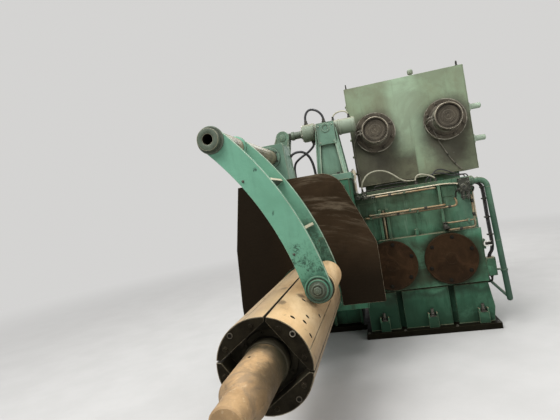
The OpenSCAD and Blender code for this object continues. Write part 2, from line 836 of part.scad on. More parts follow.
// Thin oil pipes across the front wall
module front_pipes() {
    pipe_r = 10;
    bend = 28;
    y = case_front - 20;
    high = case_top - 63;
    mid = case_top - 267;
    pad_top = pad_low + pad_h;
    right = case_right - 41;
    inner = case_right - 293;
    near = y - 22;
    left = [case_left + 198, case_left + 79, case_left + 127];
    high_end = case_right - 357;
    mid_end = case_right - 182;
    color(copper) {
        pipe_run([[left[0], wall_front, high], [left[0], y, high],
                  [high_end, y, high], [high_end, wall_front, high]], pipe_r, bend);
        pipe_run([[left[1], wall_front, mid], [left[1], y, mid], [mid_end, y, mid],
                  [mid_end, y, mid + 70], [mid_end, wall_front, mid + 70]], pipe_r, bend);
        pipe_run([[left[2], wall_front, mid + 24], [left[2], near, mid + 24],
                  [inner, near, mid + 24], [inner, wall_front, mid + 24]], pipe_r, bend);
        pipe_run([[right, wall_front, case_top - 187], [right, y, case_top - 187], [right, y, pad_top + 18],
                  [inner, y, pad_top + 18], [inner, wall_front, pad_top + 18]], pipe_r, bend);
        pipe_run([[inner, wall_front, pad_top + 87], [inner, y, pad_top + 87],
                  [right, y, pad_top + 87]], pipe_r - 2, bend);
        translate([groove_x, wall_front - 20, pad_top]) cylinder(h = 300, r = 14);
    }
}

// Valve manifold at the top right of the front wall
module valve_block() {
    low = case_top - top_flange_t - 95;
    front = case_front - 100;
    color(dark_steel) {
        block([manifold_left, front, low], [manifold_right, case_front, case_top - 8]);
        block([manifold_left, case_front, low], [manifold_right, wall_front, low + 94]);
        for (x = [manifold_left + 22, manifold_left + 68])
            translate([x, front + 30, low - 64]) cylinder(h = 65, r = 16);
        bar_y(manifold_left + 30, front - 36, low + 48, 37, 24);
    }
}

// Two hose loops on top of the gear case
module hose_loops() {
    hose_r = 8;
    first_y = wall_front + 30;
    second_y = wall_front - 8;
    first = [case_left + 91, case_left + 640];
    second = [case_left + 626, case_left + 818];
    color(cream) {
        pipe_run([[first[0], first_y, case_top], [first[0], first_y, case_top + 195],
                  [first[1], first_y, case_top + 195], [first[1], first_y, case_top]], hose_r, 190);
        pipe_run([[second[0], second_y, case_top], [second[0], second_y, case_top + 98],
                  [second[1], second_y, case_top + 98], [second[1], second_y, case_top]], hose_r, 90);
    }
}

module relief_valve() {
    x = case_left + 27;
    y = wall_front + 30;
    color(cream)
        translate([x, y, case_top]) {
            cylinder(h = 165, r = 15);
            translate([0, 0, 165]) cylinder(h = 85, r = 25);
        }
}

module junction_box() {
    color(deep_green)
        block([case_right, case_front + 5, shaft_z - 221], [case_right + 92, case_front + 95, shaft_z - 44]);
}

// Anchor chairs along the front and back of the base
module hold_down_lugs() {
    lug_w = 95;
    lug_d = 52;
    lug_h = 110;
    color(dark_steel)
        difference() {
            for (x = anchor_xs, y = [base_front - lug_d, -base_front])
                block([x - lug_w / 2, y, sole_t], [x + lug_w / 2, y + lug_d, sole_t + lug_h]);
            anchor_holes(sole_t + lug_h);
        }
}

gear_case_sole();
housing_sole();
base_frame();
gear_case();
upper_neck();
upper_housing();
bearing_cover_left();
bearing_cover_right();
rear_cover_left();
rear_cover_right();
drum_left();
drum_right();
lifting_pins();
lifting_eyes();
breather_cap();
mandrel_housing();
housing_foot();
mandrel_rear_cover();
mandrel_sleeve();
drive_base_plate();
guard_plate();
guard_plate_standoffs();
mandrel_core();
mandrel_segment_1();
mandrel_segment_2();
mandrel_segment_3();
mandrel_segment_4();
swing_shaft();
arm_plate_front();
arm_plate_back();
arm_cross_plates();
crank_lever();
roll_axle();
press_roll();
shaft_pedestal_front();
shaft_pedestal_back();
pedestal_side_plates();
cylinder_stand_front();
cylinder_stand_back();
arm_cylinder();
piston_rod();
cylinder_hoses();
oil_pipe();
front_pipes();
valve_block();
hose_loops();
relief_valve();
junction_box();
hold_down_lugs();
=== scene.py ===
import bmesh
import bpy
import math
import random
from mathutils import Matrix, Vector

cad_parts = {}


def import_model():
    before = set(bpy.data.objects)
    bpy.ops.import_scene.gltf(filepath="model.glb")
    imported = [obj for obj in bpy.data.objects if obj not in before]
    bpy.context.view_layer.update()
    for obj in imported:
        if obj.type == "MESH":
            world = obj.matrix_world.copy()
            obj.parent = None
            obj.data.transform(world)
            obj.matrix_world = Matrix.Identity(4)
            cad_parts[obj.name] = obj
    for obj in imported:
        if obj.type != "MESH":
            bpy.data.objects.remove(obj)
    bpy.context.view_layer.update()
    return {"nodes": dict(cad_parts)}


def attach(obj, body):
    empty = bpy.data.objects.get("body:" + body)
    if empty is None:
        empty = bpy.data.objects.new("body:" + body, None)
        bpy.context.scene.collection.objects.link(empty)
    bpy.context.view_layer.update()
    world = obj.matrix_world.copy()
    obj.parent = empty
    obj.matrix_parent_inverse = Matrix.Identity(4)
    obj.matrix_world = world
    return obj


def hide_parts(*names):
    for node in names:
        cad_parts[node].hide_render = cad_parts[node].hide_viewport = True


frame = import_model()
scene = bpy.context.scene
nodes = frame["nodes"]
rand = random.Random(7)

# ---- places of the CAD parts, in millimetres
MM = 0.001
CASE_FRONT, WALL_FRONT, CASE_RIGHT, CASE_TOP = -490, -430, 595, 1500
COVER_X, SHAFT_Z = 285, 725
PAD_LOW, PAD_TOP = 462, 988
UP_LEFT, UP_RIGHT, UP_FRONT, UP_BACK, UP_LOW, UP_TOP = -492.5, 712.5, -270, 490, 1565, 2630
DRUM_X, DRUM_Z = (-242, 462), 2108
AXIS_X, MANDREL_FRONT = -997, -2950
AXIS = (AXIS_X, SHAFT_Z)
PIVOT, ROLL = (-1263, 1978), (-744.56, 977.44)
ARM_FRONT, ARM_BACK, ARM_T = -2469.5, -1984.5, 30
CYL_Y, CYL_Z, HEAD_X, TUBE_END = -470, 2215.4, -968.9, -430.9
DRIVE_TOP = 1715
LEFT, RIGHT, FRONT, REAR, DOWN, UP = (-1, 0, 0), (1, 0, 0), (0, -1, 0), (0, 1, 0), (0, 0, -1), (0, 0, 1)


# ---- camera
def make_camera():
    right = Vector((0.9621653, 0.2193245, -0.1616622))
    down = Vector((-0.1556871, -0.0443773, -0.9868091))
    ahead = Vector((-0.2236055, 0.9746422, -0.0085523))
    data = bpy.data.cameras.new("camera")
    data.sensor_width = 36.0
    data.lens = 27.70
    data.clip_start, data.clip_end = 0.05, 200.0
    cam = bpy.data.objects.new("camera", data)
    scene.collection.objects.link(cam)
    turn = Matrix((right, -down, -ahead)).transposed().to_4x4()
    cam.matrix_world = Matrix.Translation((-0.31717, -4.99864, 1.50430)) @ turn
    scene.camera = cam


make_camera()


# ---- materials
class Net:
    """A builder for one procedural material. Places are in metres, colours in thousandths."""

    def __init__(self, name):
        self.mat = bpy.data.materials.new(name)
        self.mat.use_nodes = True
        self.tree = self.mat.node_tree
        self.tree.nodes.clear()
        self.out = self.tree.nodes.new("ShaderNodeOutputMaterial")
        self.bsdf = self.tree.nodes.new("ShaderNodeBsdfPrincipled")
        self.tree.links.new(self.bsdf.outputs[0], self.out.inputs[0])
        self.where = self.tree.nodes.new("ShaderNodeTexCoord").outputs["Object"]
        self.normal = self.tree.nodes.new("ShaderNodeNewGeometry").outputs["Normal"]
        self.xyz = self.node("ShaderNodeSeparateXYZ", {0: self.where}).outputs
        self.up = self.node("ShaderNodeSeparateXYZ", {0: self.normal}).outputs[2]
        self.color = None

    def put(self, socket, value):
        if isinstance(value, bpy.types.NodeSocket):
            self.tree.links.new(value, socket)
        elif socket.type == "RGBA" and isinstance(value, tuple):
            socket.default_value = (*[part / 1000 for part in value], 1.0)
        else:
            socket.default_value = value

    def node(self, kind, inputs=(), **props):
        made = self.tree.nodes.new(kind)
        for key, value in props.items():
            setattr(made, key, value)
        for key, value in dict(inputs).items():
            self.put(made.inputs[key], value)
        return made

    def stretch(self, scale):
        return self.node("ShaderNodeMapping", {0: self.where, 3: scale}).outputs[0]

    def noise(self, scale, detail=6.0, rough=0.6, vector=None, warp=0.0):
        return self.node("ShaderNodeTexNoise", {"Vector": vector or self.where, "Scale": scale, "Detail": detail,
            "Roughness": rough, "Distortion": warp}).outputs[0]

    def math(self, op, a, b=0.0):
        return self.node("ShaderNodeMath", {0: a, 1: b}, operation=op, use_clamp=False).outputs[0]

    def add(self, a, b):
        return self.math("ADD", a, b)

    def sub(self, a, b):
        return self.math("SUBTRACT", a, b)

    def fold(self, op, parts):
        total = parts[0]
        for part in parts[1:]:
            total = self.math(op, total, part)
        return total

    def times(self, *parts):
        return self.fold("MULTIPLY", parts)

    def most(self, *parts):
        return self.fold("MAXIMUM", parts)

    def fade(self, value, low, high, to_low=0.0, to_high=1.0):
        return self.node("ShaderNodeMapRange", {0: value, 1: low, 2: high, 3: to_low, 4: to_high},
            interpolation_type="SMOOTHSTEP").outputs[0]

    def cloud(self, scale, detail, rough, low, high, to_low=0.0, to_high=1.0, warp=0.0, stretch=None):
        """A soft-edged mask from noise."""
        vector = self.stretch(stretch) if stretch else None
        return self.fade(self.noise(scale, detail, rough, vector, warp), low, high, to_low, to_high)

    def rag(self, amount, scale, detail, rough):
        """Noise about zero, which makes an edge ragged."""
        return self.times(self.sub(self.noise(scale, detail, rough), 0.5), amount)

    def span(self, a, b):
        return self.math("SQRT", self.add(self.times(a, a), self.times(b, b)))

    def away(self, centre):
        """Distance from an axis along Y, given by x and z in millimetres."""
        return self.span(self.sub(self.xyz[0], centre[0] * MM), self.sub(self.xyz[2], centre[1] * MM))

    def mix(self, share, a, b):
        return self.node("ShaderNodeMix", {0: share, 6: a, 7: b}, data_type="RGBA", blend_type="MIX").outputs[2]

    def lay(self, tint, *masks):
        """Lays a tint over the colour so far, where all masks are high."""
        self.color = self.mix(self.times(*masks), self.color, tint)

    def edges(self, radius):
        bevel = self.node("ShaderNodeBevel", {0: radius}, samples=4).outputs[0]
        dot = self.node("ShaderNodeVectorMath", {0: bevel, 1: self.normal}, operation="DOT_PRODUCT")
        return self.fade(dot.outputs["Value"], 0.97, 0.82)

    def crevice_shade(self, reach):
        # Painted shade: a mask that is high where ambient occlusion finds nearby geometry.
        shade = self.node("ShaderNodeAmbientOcclusion", {"Distance": reach}, samples=4)
        return self.fade(shade.outputs["AO"], 0.92, 0.35)

    def finish(self, rough, height, depth, soft_edge, metal, specular):
        bevel = self.node("ShaderNodeBevel", {0: soft_edge}, samples=4).outputs[0]
        bump = self.node("ShaderNodeBump", {"Strength": 1.0, "Distance": depth, "Height": height, "Normal": bevel})
        for key, value in (("Base Color", self.color), ("Roughness", rough), ("Metallic", metal),
                ("Specular IOR Level", specular), ("Normal", bump.outputs[0])):
            self.put(self.bsdf.inputs[key], value)
        return self.mat


def paint(name, light, deep, grime_and_shade, edge, grime_and_shade_share=0.8, streaks=0.5, floor_dirt_and_shade=0.6, speckle=0.3, wear=0.8,
        shine=0.48, dust=0.5, specular=0.28, extra=None):
    """Old brushed paint: patches, rain and oil streaks, grime and painted shade in the corners, dirt and painted
    shade low down, chips at the edges.
    """
    net = Net(name)
    net.color = net.mix(net.cloud(1.7, 7, 0.62, 0.36, 0.66, warp=0.4), light, deep)
    net.lay(grime_and_shade, net.cloud(3.2, 6, 0.65, 0.50, 0.74, stretch=(4.5, 4.5, 0.42)), streaks)
    fine = net.noise(38, 9, 0.72)
    net.lay(deep, net.fade(fine, 0.56, 0.70), speckle)
    # Grime and painted shade in the corners, from the ambient occlusion mask.
    corner_grime_and_shade = net.times(net.crevice_shade(0.11), net.cloud(6, 6, 0.6, 0.30, 0.62, 0.45, 1), grime_and_shade_share)
    net.lay(grime_and_shade, corner_grime_and_shade)
    # Darker near the floor: dirt, and painted shade where little light reaches low down.
    net.lay(grime_and_shade, net.fade(net.xyz[2], 0.34, 0.05), net.cloud(5, 8, 0.6, 0.35, 0.65, 0.35, 1), floor_dirt_and_shade)
    if extra:
        extra(net)
    net.lay((300, 235, 150), net.fade(net.up, 0.55, 0.95), net.cloud(4, 7, 0.65, 0.25, 0.60, 0.45, 1), dust)
    net.lay(edge, net.edges(0.006), net.cloud(9, 9, 0.7, 0.34, 0.56), wear)
    chips = net.times(net.cloud(21, 10, 0.78, 0.675, 0.70), 0.75)
    net.lay(net.mix(net.fade(fine, 0.4, 0.6), edge, grime_and_shade), chips)
    rough = net.add(net.times(fine, 0.25), net.add(shine, net.times(corner_grime_and_shade, 0.25)))
    height = net.sub(net.add(net.times(fine, 0.35), net.noise(7, 4)), net.times(chips, 0.5))
    return net.finish(rough, height, 0.0022, 0.004, 0.0, specular)


def metal_skin(name, light, deep, grime_and_shade, edge, grain=(1, 1, 1), scale=5, metal=0.3, shine=0.45, grime_and_shade_share=0.7,
        edge_share=0.5, depth=0.0012, specular=0.35, extra=None):
    """Bare or oily steel with grain along one direction, stains, painted shade in the creases, and rubbed edges."""
    net = Net(name)
    net.color = net.mix(net.cloud(scale, 8, 0.6, 0.33, 0.66, warp=0.3), light, deep)
    lines = net.noise(14, 8, 0.7, net.stretch(grain))
    net.lay(deep, net.fade(lines, 0.45, 0.75), 0.55)
    net.lay(grime_and_shade, net.cloud(2.6, 9, 0.7, 0.55, 0.74, warp=0.8), grime_and_shade_share)
    # Painted shade in creases and corners, in the grime colour.
    net.lay(grime_and_shade, net.crevice_shade(0.06), grime_and_shade_share)
    if extra:
        extra(net)
    net.lay(edge, net.edges(0.005), net.cloud(12, 8, 0.6, 0.32, 0.55), edge_share)
    rough = net.add(shine, net.times(net.fade(lines, 0.3, 0.7), 0.22))
    height = net.add(net.times(lines, 0.5), net.noise(55, 6))
    return net.finish(rough, height, depth, 0.003, metal, specular)


def case_extra(net):
    """Oil and soot on the gear case: under its top flange, round the covers and low on the base, where the
    darkening is partly painted shade; a painted shadow line under the pad and a painted sheen on the right of the
    wall above it.
    """
    x, y, z = net.xyz
    rag = net.rag(0.30, 3.4, 8, 0.65)
    high = net.add(z, rag)
    net.lay((34, 31, 19), net.fade(z, 1.462, 1.478), net.fade(y, -0.36, -0.42), net.cloud(8, 9, 0.72, 0.36, 0.50,
        warp=0.4), net.fade(x, 0.42, 0.22, 0.15, 1), 0.88)
    net.lay((88, 98, 56), net.fade(high, 1.20, 1.46), net.fade(x, 0.40, -0.10, 0.35, 1), net.cloud(4, 7, 0.7, 0.28,
        0.60, 0.35, 1, stretch=(6, 6, 0.5)), 0.72)
    net.lay((36, 38, 22), net.fade(high, 1.39, 1.47), net.fade(x, -0.10, -0.40, 0.25, 1), 0.80)
    net.lay((112, 178, 112), net.fade(high, 0.99, 1.10), net.cloud(2.6, 7, 0.6, 0.32, 0.62, 0.25, 1, warp=0.4),
        0.48)
    net.lay((30, 40, 22), net.fade(x, 0.52, -0.25, 0.15, 0.80), net.cloud(1.4, 7, 0.6, 0.38, 0.60, warp=0.7))
    front = net.fade(y, -0.44, -0.48)
    net.lay((30, 30, 18), net.fade(z, 0.26, 0.18), net.fade(y, -0.500, -0.525), 0.62)
    net.lay((26, 26, 14), net.fade(z, 0.93, 0.80), net.fade(z, 0.46, 0.56), front, net.fade(x, 0.50, 0.30, 0.3,
        0.66))
    rings = [net.fade(net.add(net.away((centre, 700)), rag), 0.40, 0.25) for centre in (-COVER_X, COVER_X)]
    net.lay((21, 25, 13), net.most(*rings), front, 0.86)
    net.lay((98, 235, 145), net.cloud(2.4, 8, 0.68, 0.52, 0.66, warp=0.6), net.fade(x, -0.35, 0.35, 0.25, 1), 0.60)
    # Painted sheen on the right of the wall above the pad.
    net.lay((155, 275, 200), net.fade(x, 0.36, 0.56), net.fade(high, 0.90, 1.06), net.cloud(3, 8, 0.68, 0.36, 0.58,
        0.35, 1), 0.78)
    net.lay((120, 200, 135), net.cloud(7, 8, 0.7, 0.52, 0.64, warp=0.2, stretch=(3.5, 3.5, 0.30)), net.fade(z, 0.95,
        1.05), net.fade(z, 1.45, 1.30), 0.55)
    net.lay((26, 60, 34), net.cloud(9, 9, 0.75, 0.52, 0.66, warp=0.4, stretch=(2.4, 2.4, 0.55)), 0.50)
    # Darker base below the pad: dirt, and painted shade.
    net.lay((12, 41, 22), net.fade(high, 0.46, 0.30), net.fade(x, -0.50, 0.45, 0.95, 0.60))
    # Painted shadow in a band just under the pad's lower edge.
    net.lay((12, 20, 12), net.fade(high, 0.455, 0.40), net.fade(high, 0.33, 0.40), 0.6)


def pipe_shade(net):
    """Painted shade: the oil pipe is paler at its top bend and darker further down."""
    net.lay((14, 46, 27), net.fade(net.xyz[2], 1.40, 1.05), net.cloud(5, 7, 0.65, 0.30, 0.60, 0.60, 1), 0.85)


def pipe_dirt_and_shade(net):
    """Black grease and green overspray in patches on the thin pipes, and painted shade on their undersides."""
    net.lay((52, 44, 26), net.cloud(4.2, 8, 0.7, 0.50, 0.62), 0.68)
    net.lay((50, 120, 72), net.cloud(4, 6, 0.6, 0.56, 0.64), 0.70)
    # Painted shade on the down-facing sides of the pipes.
    net.lay((35, 30, 18), net.fade(net.up, 0.10, -0.55), 0.65)


def soot(net):
    """Soot round and below the drums of the upper housing, and a brown lower left quarter."""
    x, y, z = net.xyz
    rag = net.rag(0.30, 4.2, 9, 0.7)
    high = net.add(z, rag)
    sooty = []
    for centre in DRUM_X:
        dz = net.sub(DRUM_Z * MM, z)
        fall = net.add(net.times(net.math("MAXIMUM", dz), 0.52), net.times(net.math("MINIMUM", dz), 1.15))
        sooty.append(net.fade(net.add(net.span(net.sub(x, centre * MM), fall), rag), 0.36, 0.17))
    front = net.fade(y, -0.18, -0.26)
    low_left = net.times(net.fade(x, 0.140, 0.125), net.fade(high, 2.02, 1.74), 0.92)
    low_right = net.times(net.fade(x, 0.25, 0.62), net.fade(high, 2.05, 1.78), 0.62)
    low_line = net.times(net.fade(z, 1.66, 1.575), 0.55)
    brown = net.mix(net.cloud(9, 6, 0.6, 0.4, 0.6), (60, 54, 36), (95, 94, 58))
    net.lay(brown, net.most(low_left, low_right, low_line), front)
    net.lay((52, 47, 34), net.most(*sooty), front, 0.90)
    net.lay((290, 395, 275), net.fade(net.math("ABSOLUTE", net.sub(x, 0.09)), 0.24, 0.05), front, 0.72, net.fade(z,
        1.75, 2.15))
    net.lay((120, 118, 78), net.cloud(2.2, 7, 0.65, 0.46, 0.66, warp=0.5), front, 0.45)
    net.lay((75, 70, 48), net.cloud(5, 7, 0.7, 0.56, 0.74, stretch=(5, 5, 0.35)), 0.28)


def spot(net, at, radius):
    """Ragged patch round a point given by x and z in millimetres."""
    away = net.add(net.away(at), net.rag(radius * 5, 40, 7, 0.75))
    return net.times(net.fade(away, radius, radius * 0.6), net.cloud(52, 6, 0.70, 0.40, 0.60))


def arm_dirt_and_shade(net):
    """Knocks, scratches and speckles near the lower end of the press roll arm, and painted shade low on the back
    plate between the arm plates.
    """
    x, y, z = net.xyz
    back = net.fade(y, -2.30, -2.10)
    net.lay((20, 70, 44), net.cloud(27, 8, 0.72, 0.575, 0.62, warp=0.6, stretch=(1, 1, 0.8)), net.fade(z, 1.42,
        1.02), 0.85)
    net.lay((26, 95, 60), net.cloud(60, 7, 0.7, 0.55, 0.62), net.fade(z, 1.36, 1.08), 0.60)
    net.lay((46, 150, 95), net.fade(z, 1.26, 0.96), net.cloud(7, 8, 0.7, 0.30, 0.58, 0.30, 1), 0.62)
    net.lay((18, 62, 38), net.cloud(17, 9, 0.75, 0.535, 0.60, warp=0.5), net.fade(z, 1.33, 1.02), 0.85)
    # Painted shade, in speckled patches, low on the back plate between the arm plates.
    net.lay((24, 50, 31), back, net.fade(z, 1.62, 1.10), net.cloud(13, 9, 0.75, 0.38, 0.54, warp=0.5), 0.92)
    net.lay((70, 52, 30), back, net.fade(z, 1.50, 1.20), net.cloud(24, 9, 0.75, 0.56, 0.62), 0.80)
    front = net.fade(y, -2.38, -2.43)
    for px, pz, radius in ((-1010, 1752, 13), (-1021, 1236, 22), (-943, 1471, 13), (-842, 1235, 30), (-872, 1160,
            26), (-800, 1160, 40), (-760, 1118, 38), (-722, 1090, 26)):
        net.lay((16, 42, 28), spot(net, (px, pz), radius * MM), front, 0.85)
    net.lay((24, 75, 48), net.fade(net.away(ROLL), 0.130, 0.090), net.cloud(15, 8, 0.72, 0.36, 0.58, 0.20, 1), 0.80)


def boss_shade(net):
    """Painted shade in the grooves of the lower arm boss, and over its lower part."""
    away = net.away(ROLL)
    outer = net.times(net.fade(away, 0.0610, 0.0655), net.fade(away, 0.0750, 0.0715))
    inner = net.times(net.fade(away, 0.0440, 0.0475), net.fade(away, 0.0560, 0.0530))
    # Painted shade in the two grooves.
    net.lay((14, 30, 18), net.most(outer, inner), net.cloud(14, 7, 0.7, 0.25, 0.50, 0.45, 1), 0.92)
    # Painted shade over the lower part of the boss.
    net.lay((16, 34, 21), net.fade(net.sub(net.xyz[2], ROLL[1] * MM), 0.030, -0.060), net.cloud(11, 8, 0.7, 0.34,
        0.58), 0.80)


def drive_marks(net):
    """Olive oil film on the crank lever, and the rubbed right leg of the front cylinder stand."""
    x, y, z = net.xyz
    net.lay((70, 105, 68), net.fade(x, -1.03, -1.08), net.fade(y, -0.560, -0.545), net.fade(y, -0.385, -0.400),
        net.cloud(6, 8, 0.7, 0.30, 0.60, 0.45, 1), 0.80)
    lean = net.add(net.sub(x, -0.594), net.times(net.sub(z, DRIVE_TOP * MM), 0.107))
    net.lay((300, 430, 330), net.fade(net.math("ABSOLUTE", lean), 0.026, 0.012), net.fade(y, -0.56, -0.59),
        net.fade(z, 2.10, 2.03), net.fade(z, 1.718, 1.728), net.cloud(8, 7, 0.7, 0.30, 0.55, 0.45, 1), 0.80)


def cross_wear_and_shade(net):
    """Rubbed pale top, and painted shade on the underside of the cross plates."""
    net.lay((500, 455, 320), net.fade(net.up, 0.05, 0.35), 0.92)
    # Painted shade on the down-facing sides.
    net.lay((22, 26, 18), net.fade(net.up, 0, -0.25), 0.9)


def guard_streaks_and_shadow(net):
    """Faint pale sweeps where coils have brushed the guard plate, and painted shadow, near black, on its left and
    low down.
    """
    x, y, z = net.xyz
    off = net.add(x, 0.9)
    bent = net.add(z, net.times(off, off, 0.55))
    turned = net.node("ShaderNodeCombineXYZ", {0: net.times(x, 0.6), 1: y, 2: net.times(bent, 4.5)}).outputs[0]
    near = net.times(net.fade(x, -1.15, -0.75), net.fade(z, 1.00, 1.35))
    net.lay((150, 118, 80), net.fade(net.noise(2.6, 9, 0.72, turned, 0.3), 0.47, 0.66), near, 0.70)
    # Painted shadow on the left part and the lower part of the plate.
    net.lay((10, 7, 4), net.most(net.fade(x, -0.95, -1.30), net.fade(z, 1.20, 0.75)), 0.92)


def rim_highlight_and_shade(net):
    """Painted light on the drum rims: left bright above as a highlight, darkened below as painted shade."""
    high = net.add(net.xyz[2], net.rag(0.12, 9, 6, 0.6))
    # Painted shade on the lower part of each rim.
    net.lay((85, 72, 52), net.fade(high, DRUM_Z * MM + 0.08, DRUM_Z * MM - 0.07), net.fade(net.xyz[1], -0.40,
        -0.50), 0.90)


def drum_scuffs_and_glints(net):
    """Pale scuffs on the sides of the drums, and painted highlights in broken arcs at the edges of their flanges.
    """
    y = net.xyz[1]
    rings, skins = [], []
    for centre in DRUM_X:
        away = net.away((centre, DRUM_Z))
        rings.append(net.times(net.fade(away, 0.1985, 0.2035), net.fade(away, 0.30, 0.29)))
        skins.append(net.times(net.fade(away, 0.1265, 0.1285), net.fade(away, 0.145, 0.140)))
    # Painted highlights in broken arcs at the flange edges.
    net.lay((300, 285, 225), net.most(*rings), net.cloud(7, 7, 0.7, 0.46, 0.54), 0.85)
    net.lay((230, 225, 175), net.fade(y, -0.545, -0.535), net.fade(y, -0.34, -0.36), net.cloud(6, 7, 0.65, 0.40,
        0.58), net.most(*skins), 0.88)


def cover_rings(net):
    """Blotches on the rusty covers, darker below."""
    net.lay((54, 28, 14), net.cloud(6.5, 8, 0.7, 0.48, 0.66, warp=0.9), 0.50)
    net.lay((14, 9, 6), net.fade(net.xyz[2], 0.62, 0.46), 0.5)


def nose_marks_and_shade(net):
    """Pale and dark pitting on the nose shaft, painted shade on its right side and a painted shadow at its root,
    and black oil on the core behind it.
    """
    x, y, z = net.xyz
    net.lay((560, 430, 260), net.cloud(42, 6, 0.6, 0.60, 0.68), 0.60)
    net.lay((190, 142, 92), net.cloud(11, 8, 0.72, 0.44, 0.60, warp=0.6), net.fade(y, -3.46, -3.36, 0.35, 1), 0.62)
    net.lay((85, 62, 36), net.cloud(20, 8, 0.7, 0.60, 0.70, warp=0.5), 0.55)
    rag = net.rag(0.10, 5, 8, 0.7)
    side = net.add(net.sub(x, AXIS_X * MM), rag)
    # Painted shade on the right side of the nose, stronger towards the root.
    net.lay((36, 28, 16), net.fade(side, 0.040, 0.100), net.fade(y, -3.42, -3.20, 0.45, 1), 0.86)
    # Painted shadow at the root of the nose.
    net.lay((32, 29, 17), net.fade(net.add(y, rag), -3.14, -2.95), net.cloud(6, 7, 0.6, 0.30, 0.60, 0.5, 1), 0.94)
    dust = net.mix(net.cloud(7, 7, 0.7, 0.46, 0.70, warp=0.5), (16, 14, 9), (70, 60, 37))
    net.lay(dust, net.most(net.fade(net.away(AXIS), 0.1185, 0.1200), net.fade(y, -2.935, -2.915)), 0.96)


def tan_stains_and_painted_light(net):
    """Rubbed cream and darker oil marks on the mandrel, black oil inside it; painted shade on its lower right side
    and under the arm boss, and a painted highlight on its upper left side.
    """
    x, y, z = net.xyz
    net.lay((770, 585, 350), net.cloud(4.5, 9, 0.72, 0.44, 0.66, warp=0.5, stretch=(1, 0.28, 1)), 0.6)
    net.lay((170, 110, 60), net.cloud(15, 6, 0.6, 0.640, 0.70, warp=0.7), 0.65)
    net.lay((240, 165, 95), net.cloud(7, 7, 0.65, 0.56, 0.70, warp=0.8, stretch=(1.6, 0.30, 1.6)), 0.55)
    dx, dz = net.sub(x, AXIS_X * MM), net.sub(z, SHAFT_Z * MM)
    # Painted shade on the lower right flank.
    net.lay((170, 122, 72), net.fade(dx, 0.15, 0.235), net.fade(z, 0.925, 0.805), net.cloud(3, 7, 0.65, 0.25, 0.55,
        0.5, 1, warp=0.5), 0.42)
    # Dark spots on the top: oil stains, and painted shadow under the arm boss.
    for px, py, radius in ((-0.86, -2.42, 0.030), (-0.80, -2.44, 0.045), (-0.93, -2.66, 0.030), (-0.99, -2.30,
            0.028)):
        away = net.span(net.sub(x, px), net.times(net.sub(y, py), 0.55))
        away = net.add(away, net.rag(radius * 3, 16, 7, 0.7))
        net.lay((85, 58, 34), net.fade(away, radius, radius * 0.4), net.fade(z, 0.85, 0.95), 0.75)
    # Painted shade on the side that faces down and to the right.
    across = net.sub(net.times(dx, 0.8), net.times(dz, 0.6))
    net.lay((105, 78, 50), net.fade(across, 0.08, 0.24), net.fade(y, -1.30, -1.60), 0.62)
    # Painted highlight on the side that faces up and to the left.
    net.lay((255, 195, 125), net.fade(across, -0.02, -0.20), net.cloud(3, 7, 0.6, 0.3, 0.6, 0.6, 1), 0.72)
    away = net.away(AXIS)
    net.lay((175, 110, 55), net.fade(net.math("ABSOLUTE", net.add(y, 2.398)), 0.011, 0.006), net.cloud(9, 6, 0.6,
        0.35, 0.60, 0.4, 1), net.fade(away, 0.256, 0.258), 0.80)
    slots = []
    for turn in (math.radians(80), math.radians(170)):
        off = net.sub(net.times(dx, math.sin(turn)), net.times(dz, math.cos(turn)))
        slots.append(net.math("ABSOLUTE", off))
    ragged = net.add(net.math("MINIMUM", *slots), net.rag(0.004, 20, 6, 0.7))
    dark = net.fade(ragged, net.fade(y, -2.9, -2.1, 0.0105, 0.0075), net.fade(y, -2.9, -2.1, 0.0075, 0.0050))
    net.lay((30, 23, 14), dark, net.fade(away, 0.257, 0.255), 0.90)
    net.lay((30, 25, 15), net.fade(away, 0.2530, 0.2515), net.fade(z, 0.995, 0.985))


CASE = paint("case_green", (58, 178, 104), (34, 108, 62), (18, 22, 12), (270, 300, 190), grime_and_shade_share=0.95,
    streaks=0.75, speckle=0.45, wear=0.85, dust=0.75, specular=0.16, extra=case_extra)
MACHINE = paint("machine_green", (58, 178, 104), (36, 116, 67), (18, 22, 12), (270, 300, 190), grime_and_shade_share=0.95,
    streaks=0.65, speckle=0.40, wear=0.85, dust=0.75, specular=0.16)
PIPE_GREEN = paint("pipe_green", (70, 150, 92), (30, 70, 42), (14, 18, 11), (340, 380, 270), streaks=0.7,
    speckle=0.55, floor_dirt_and_shade=0.2, shine=0.36, specular=0.4, extra=pipe_shade)
FADED = paint("faded_green", (205, 272, 176), (170, 190, 118), (70, 66, 44), (300, 330, 250), grime_and_shade_share=0.7,
    streaks=0.15, floor_dirt_and_shade=0, speckle=0.25, wear=0.5, shine=0.55, specular=0.2, extra=soot)
ARM = paint("arm_green", (138, 325, 225), (108, 262, 176), (28, 50, 32), (420, 400, 270), grime_and_shade_share=0.95,
    streaks=0.15, floor_dirt_and_shade=0, speckle=0.22, wear=0.95, dust=0.85, shine=0.42, extra=arm_dirt_and_shade)
BOSS = paint("boss_green", (95, 250, 165), (48, 150, 94), (10, 16, 10), (300, 420, 310), grime_and_shade_share=1, streaks=0.4,
    floor_dirt_and_shade=0, speckle=0.7, wear=0.35, dust=0.2, shine=0.36, specular=0.4, extra=boss_shade)
CROSS = paint("cross_plate_green", (138, 325, 225), (108, 262, 176), (28, 40, 26), (600, 550, 400), grime_and_shade_share=0.9,
    floor_dirt_and_shade=0, dust=0, extra=cross_wear_and_shade)
DRIVE = paint("drive_green", (150, 262, 190), (92, 168, 120), (36, 40, 27), (400, 420, 310), grime_and_shade_share=0.95,
    streaks=0.45, floor_dirt_and_shade=0, speckle=0.35, wear=0.95, dust=0.7, shine=0.46, extra=drive_marks)
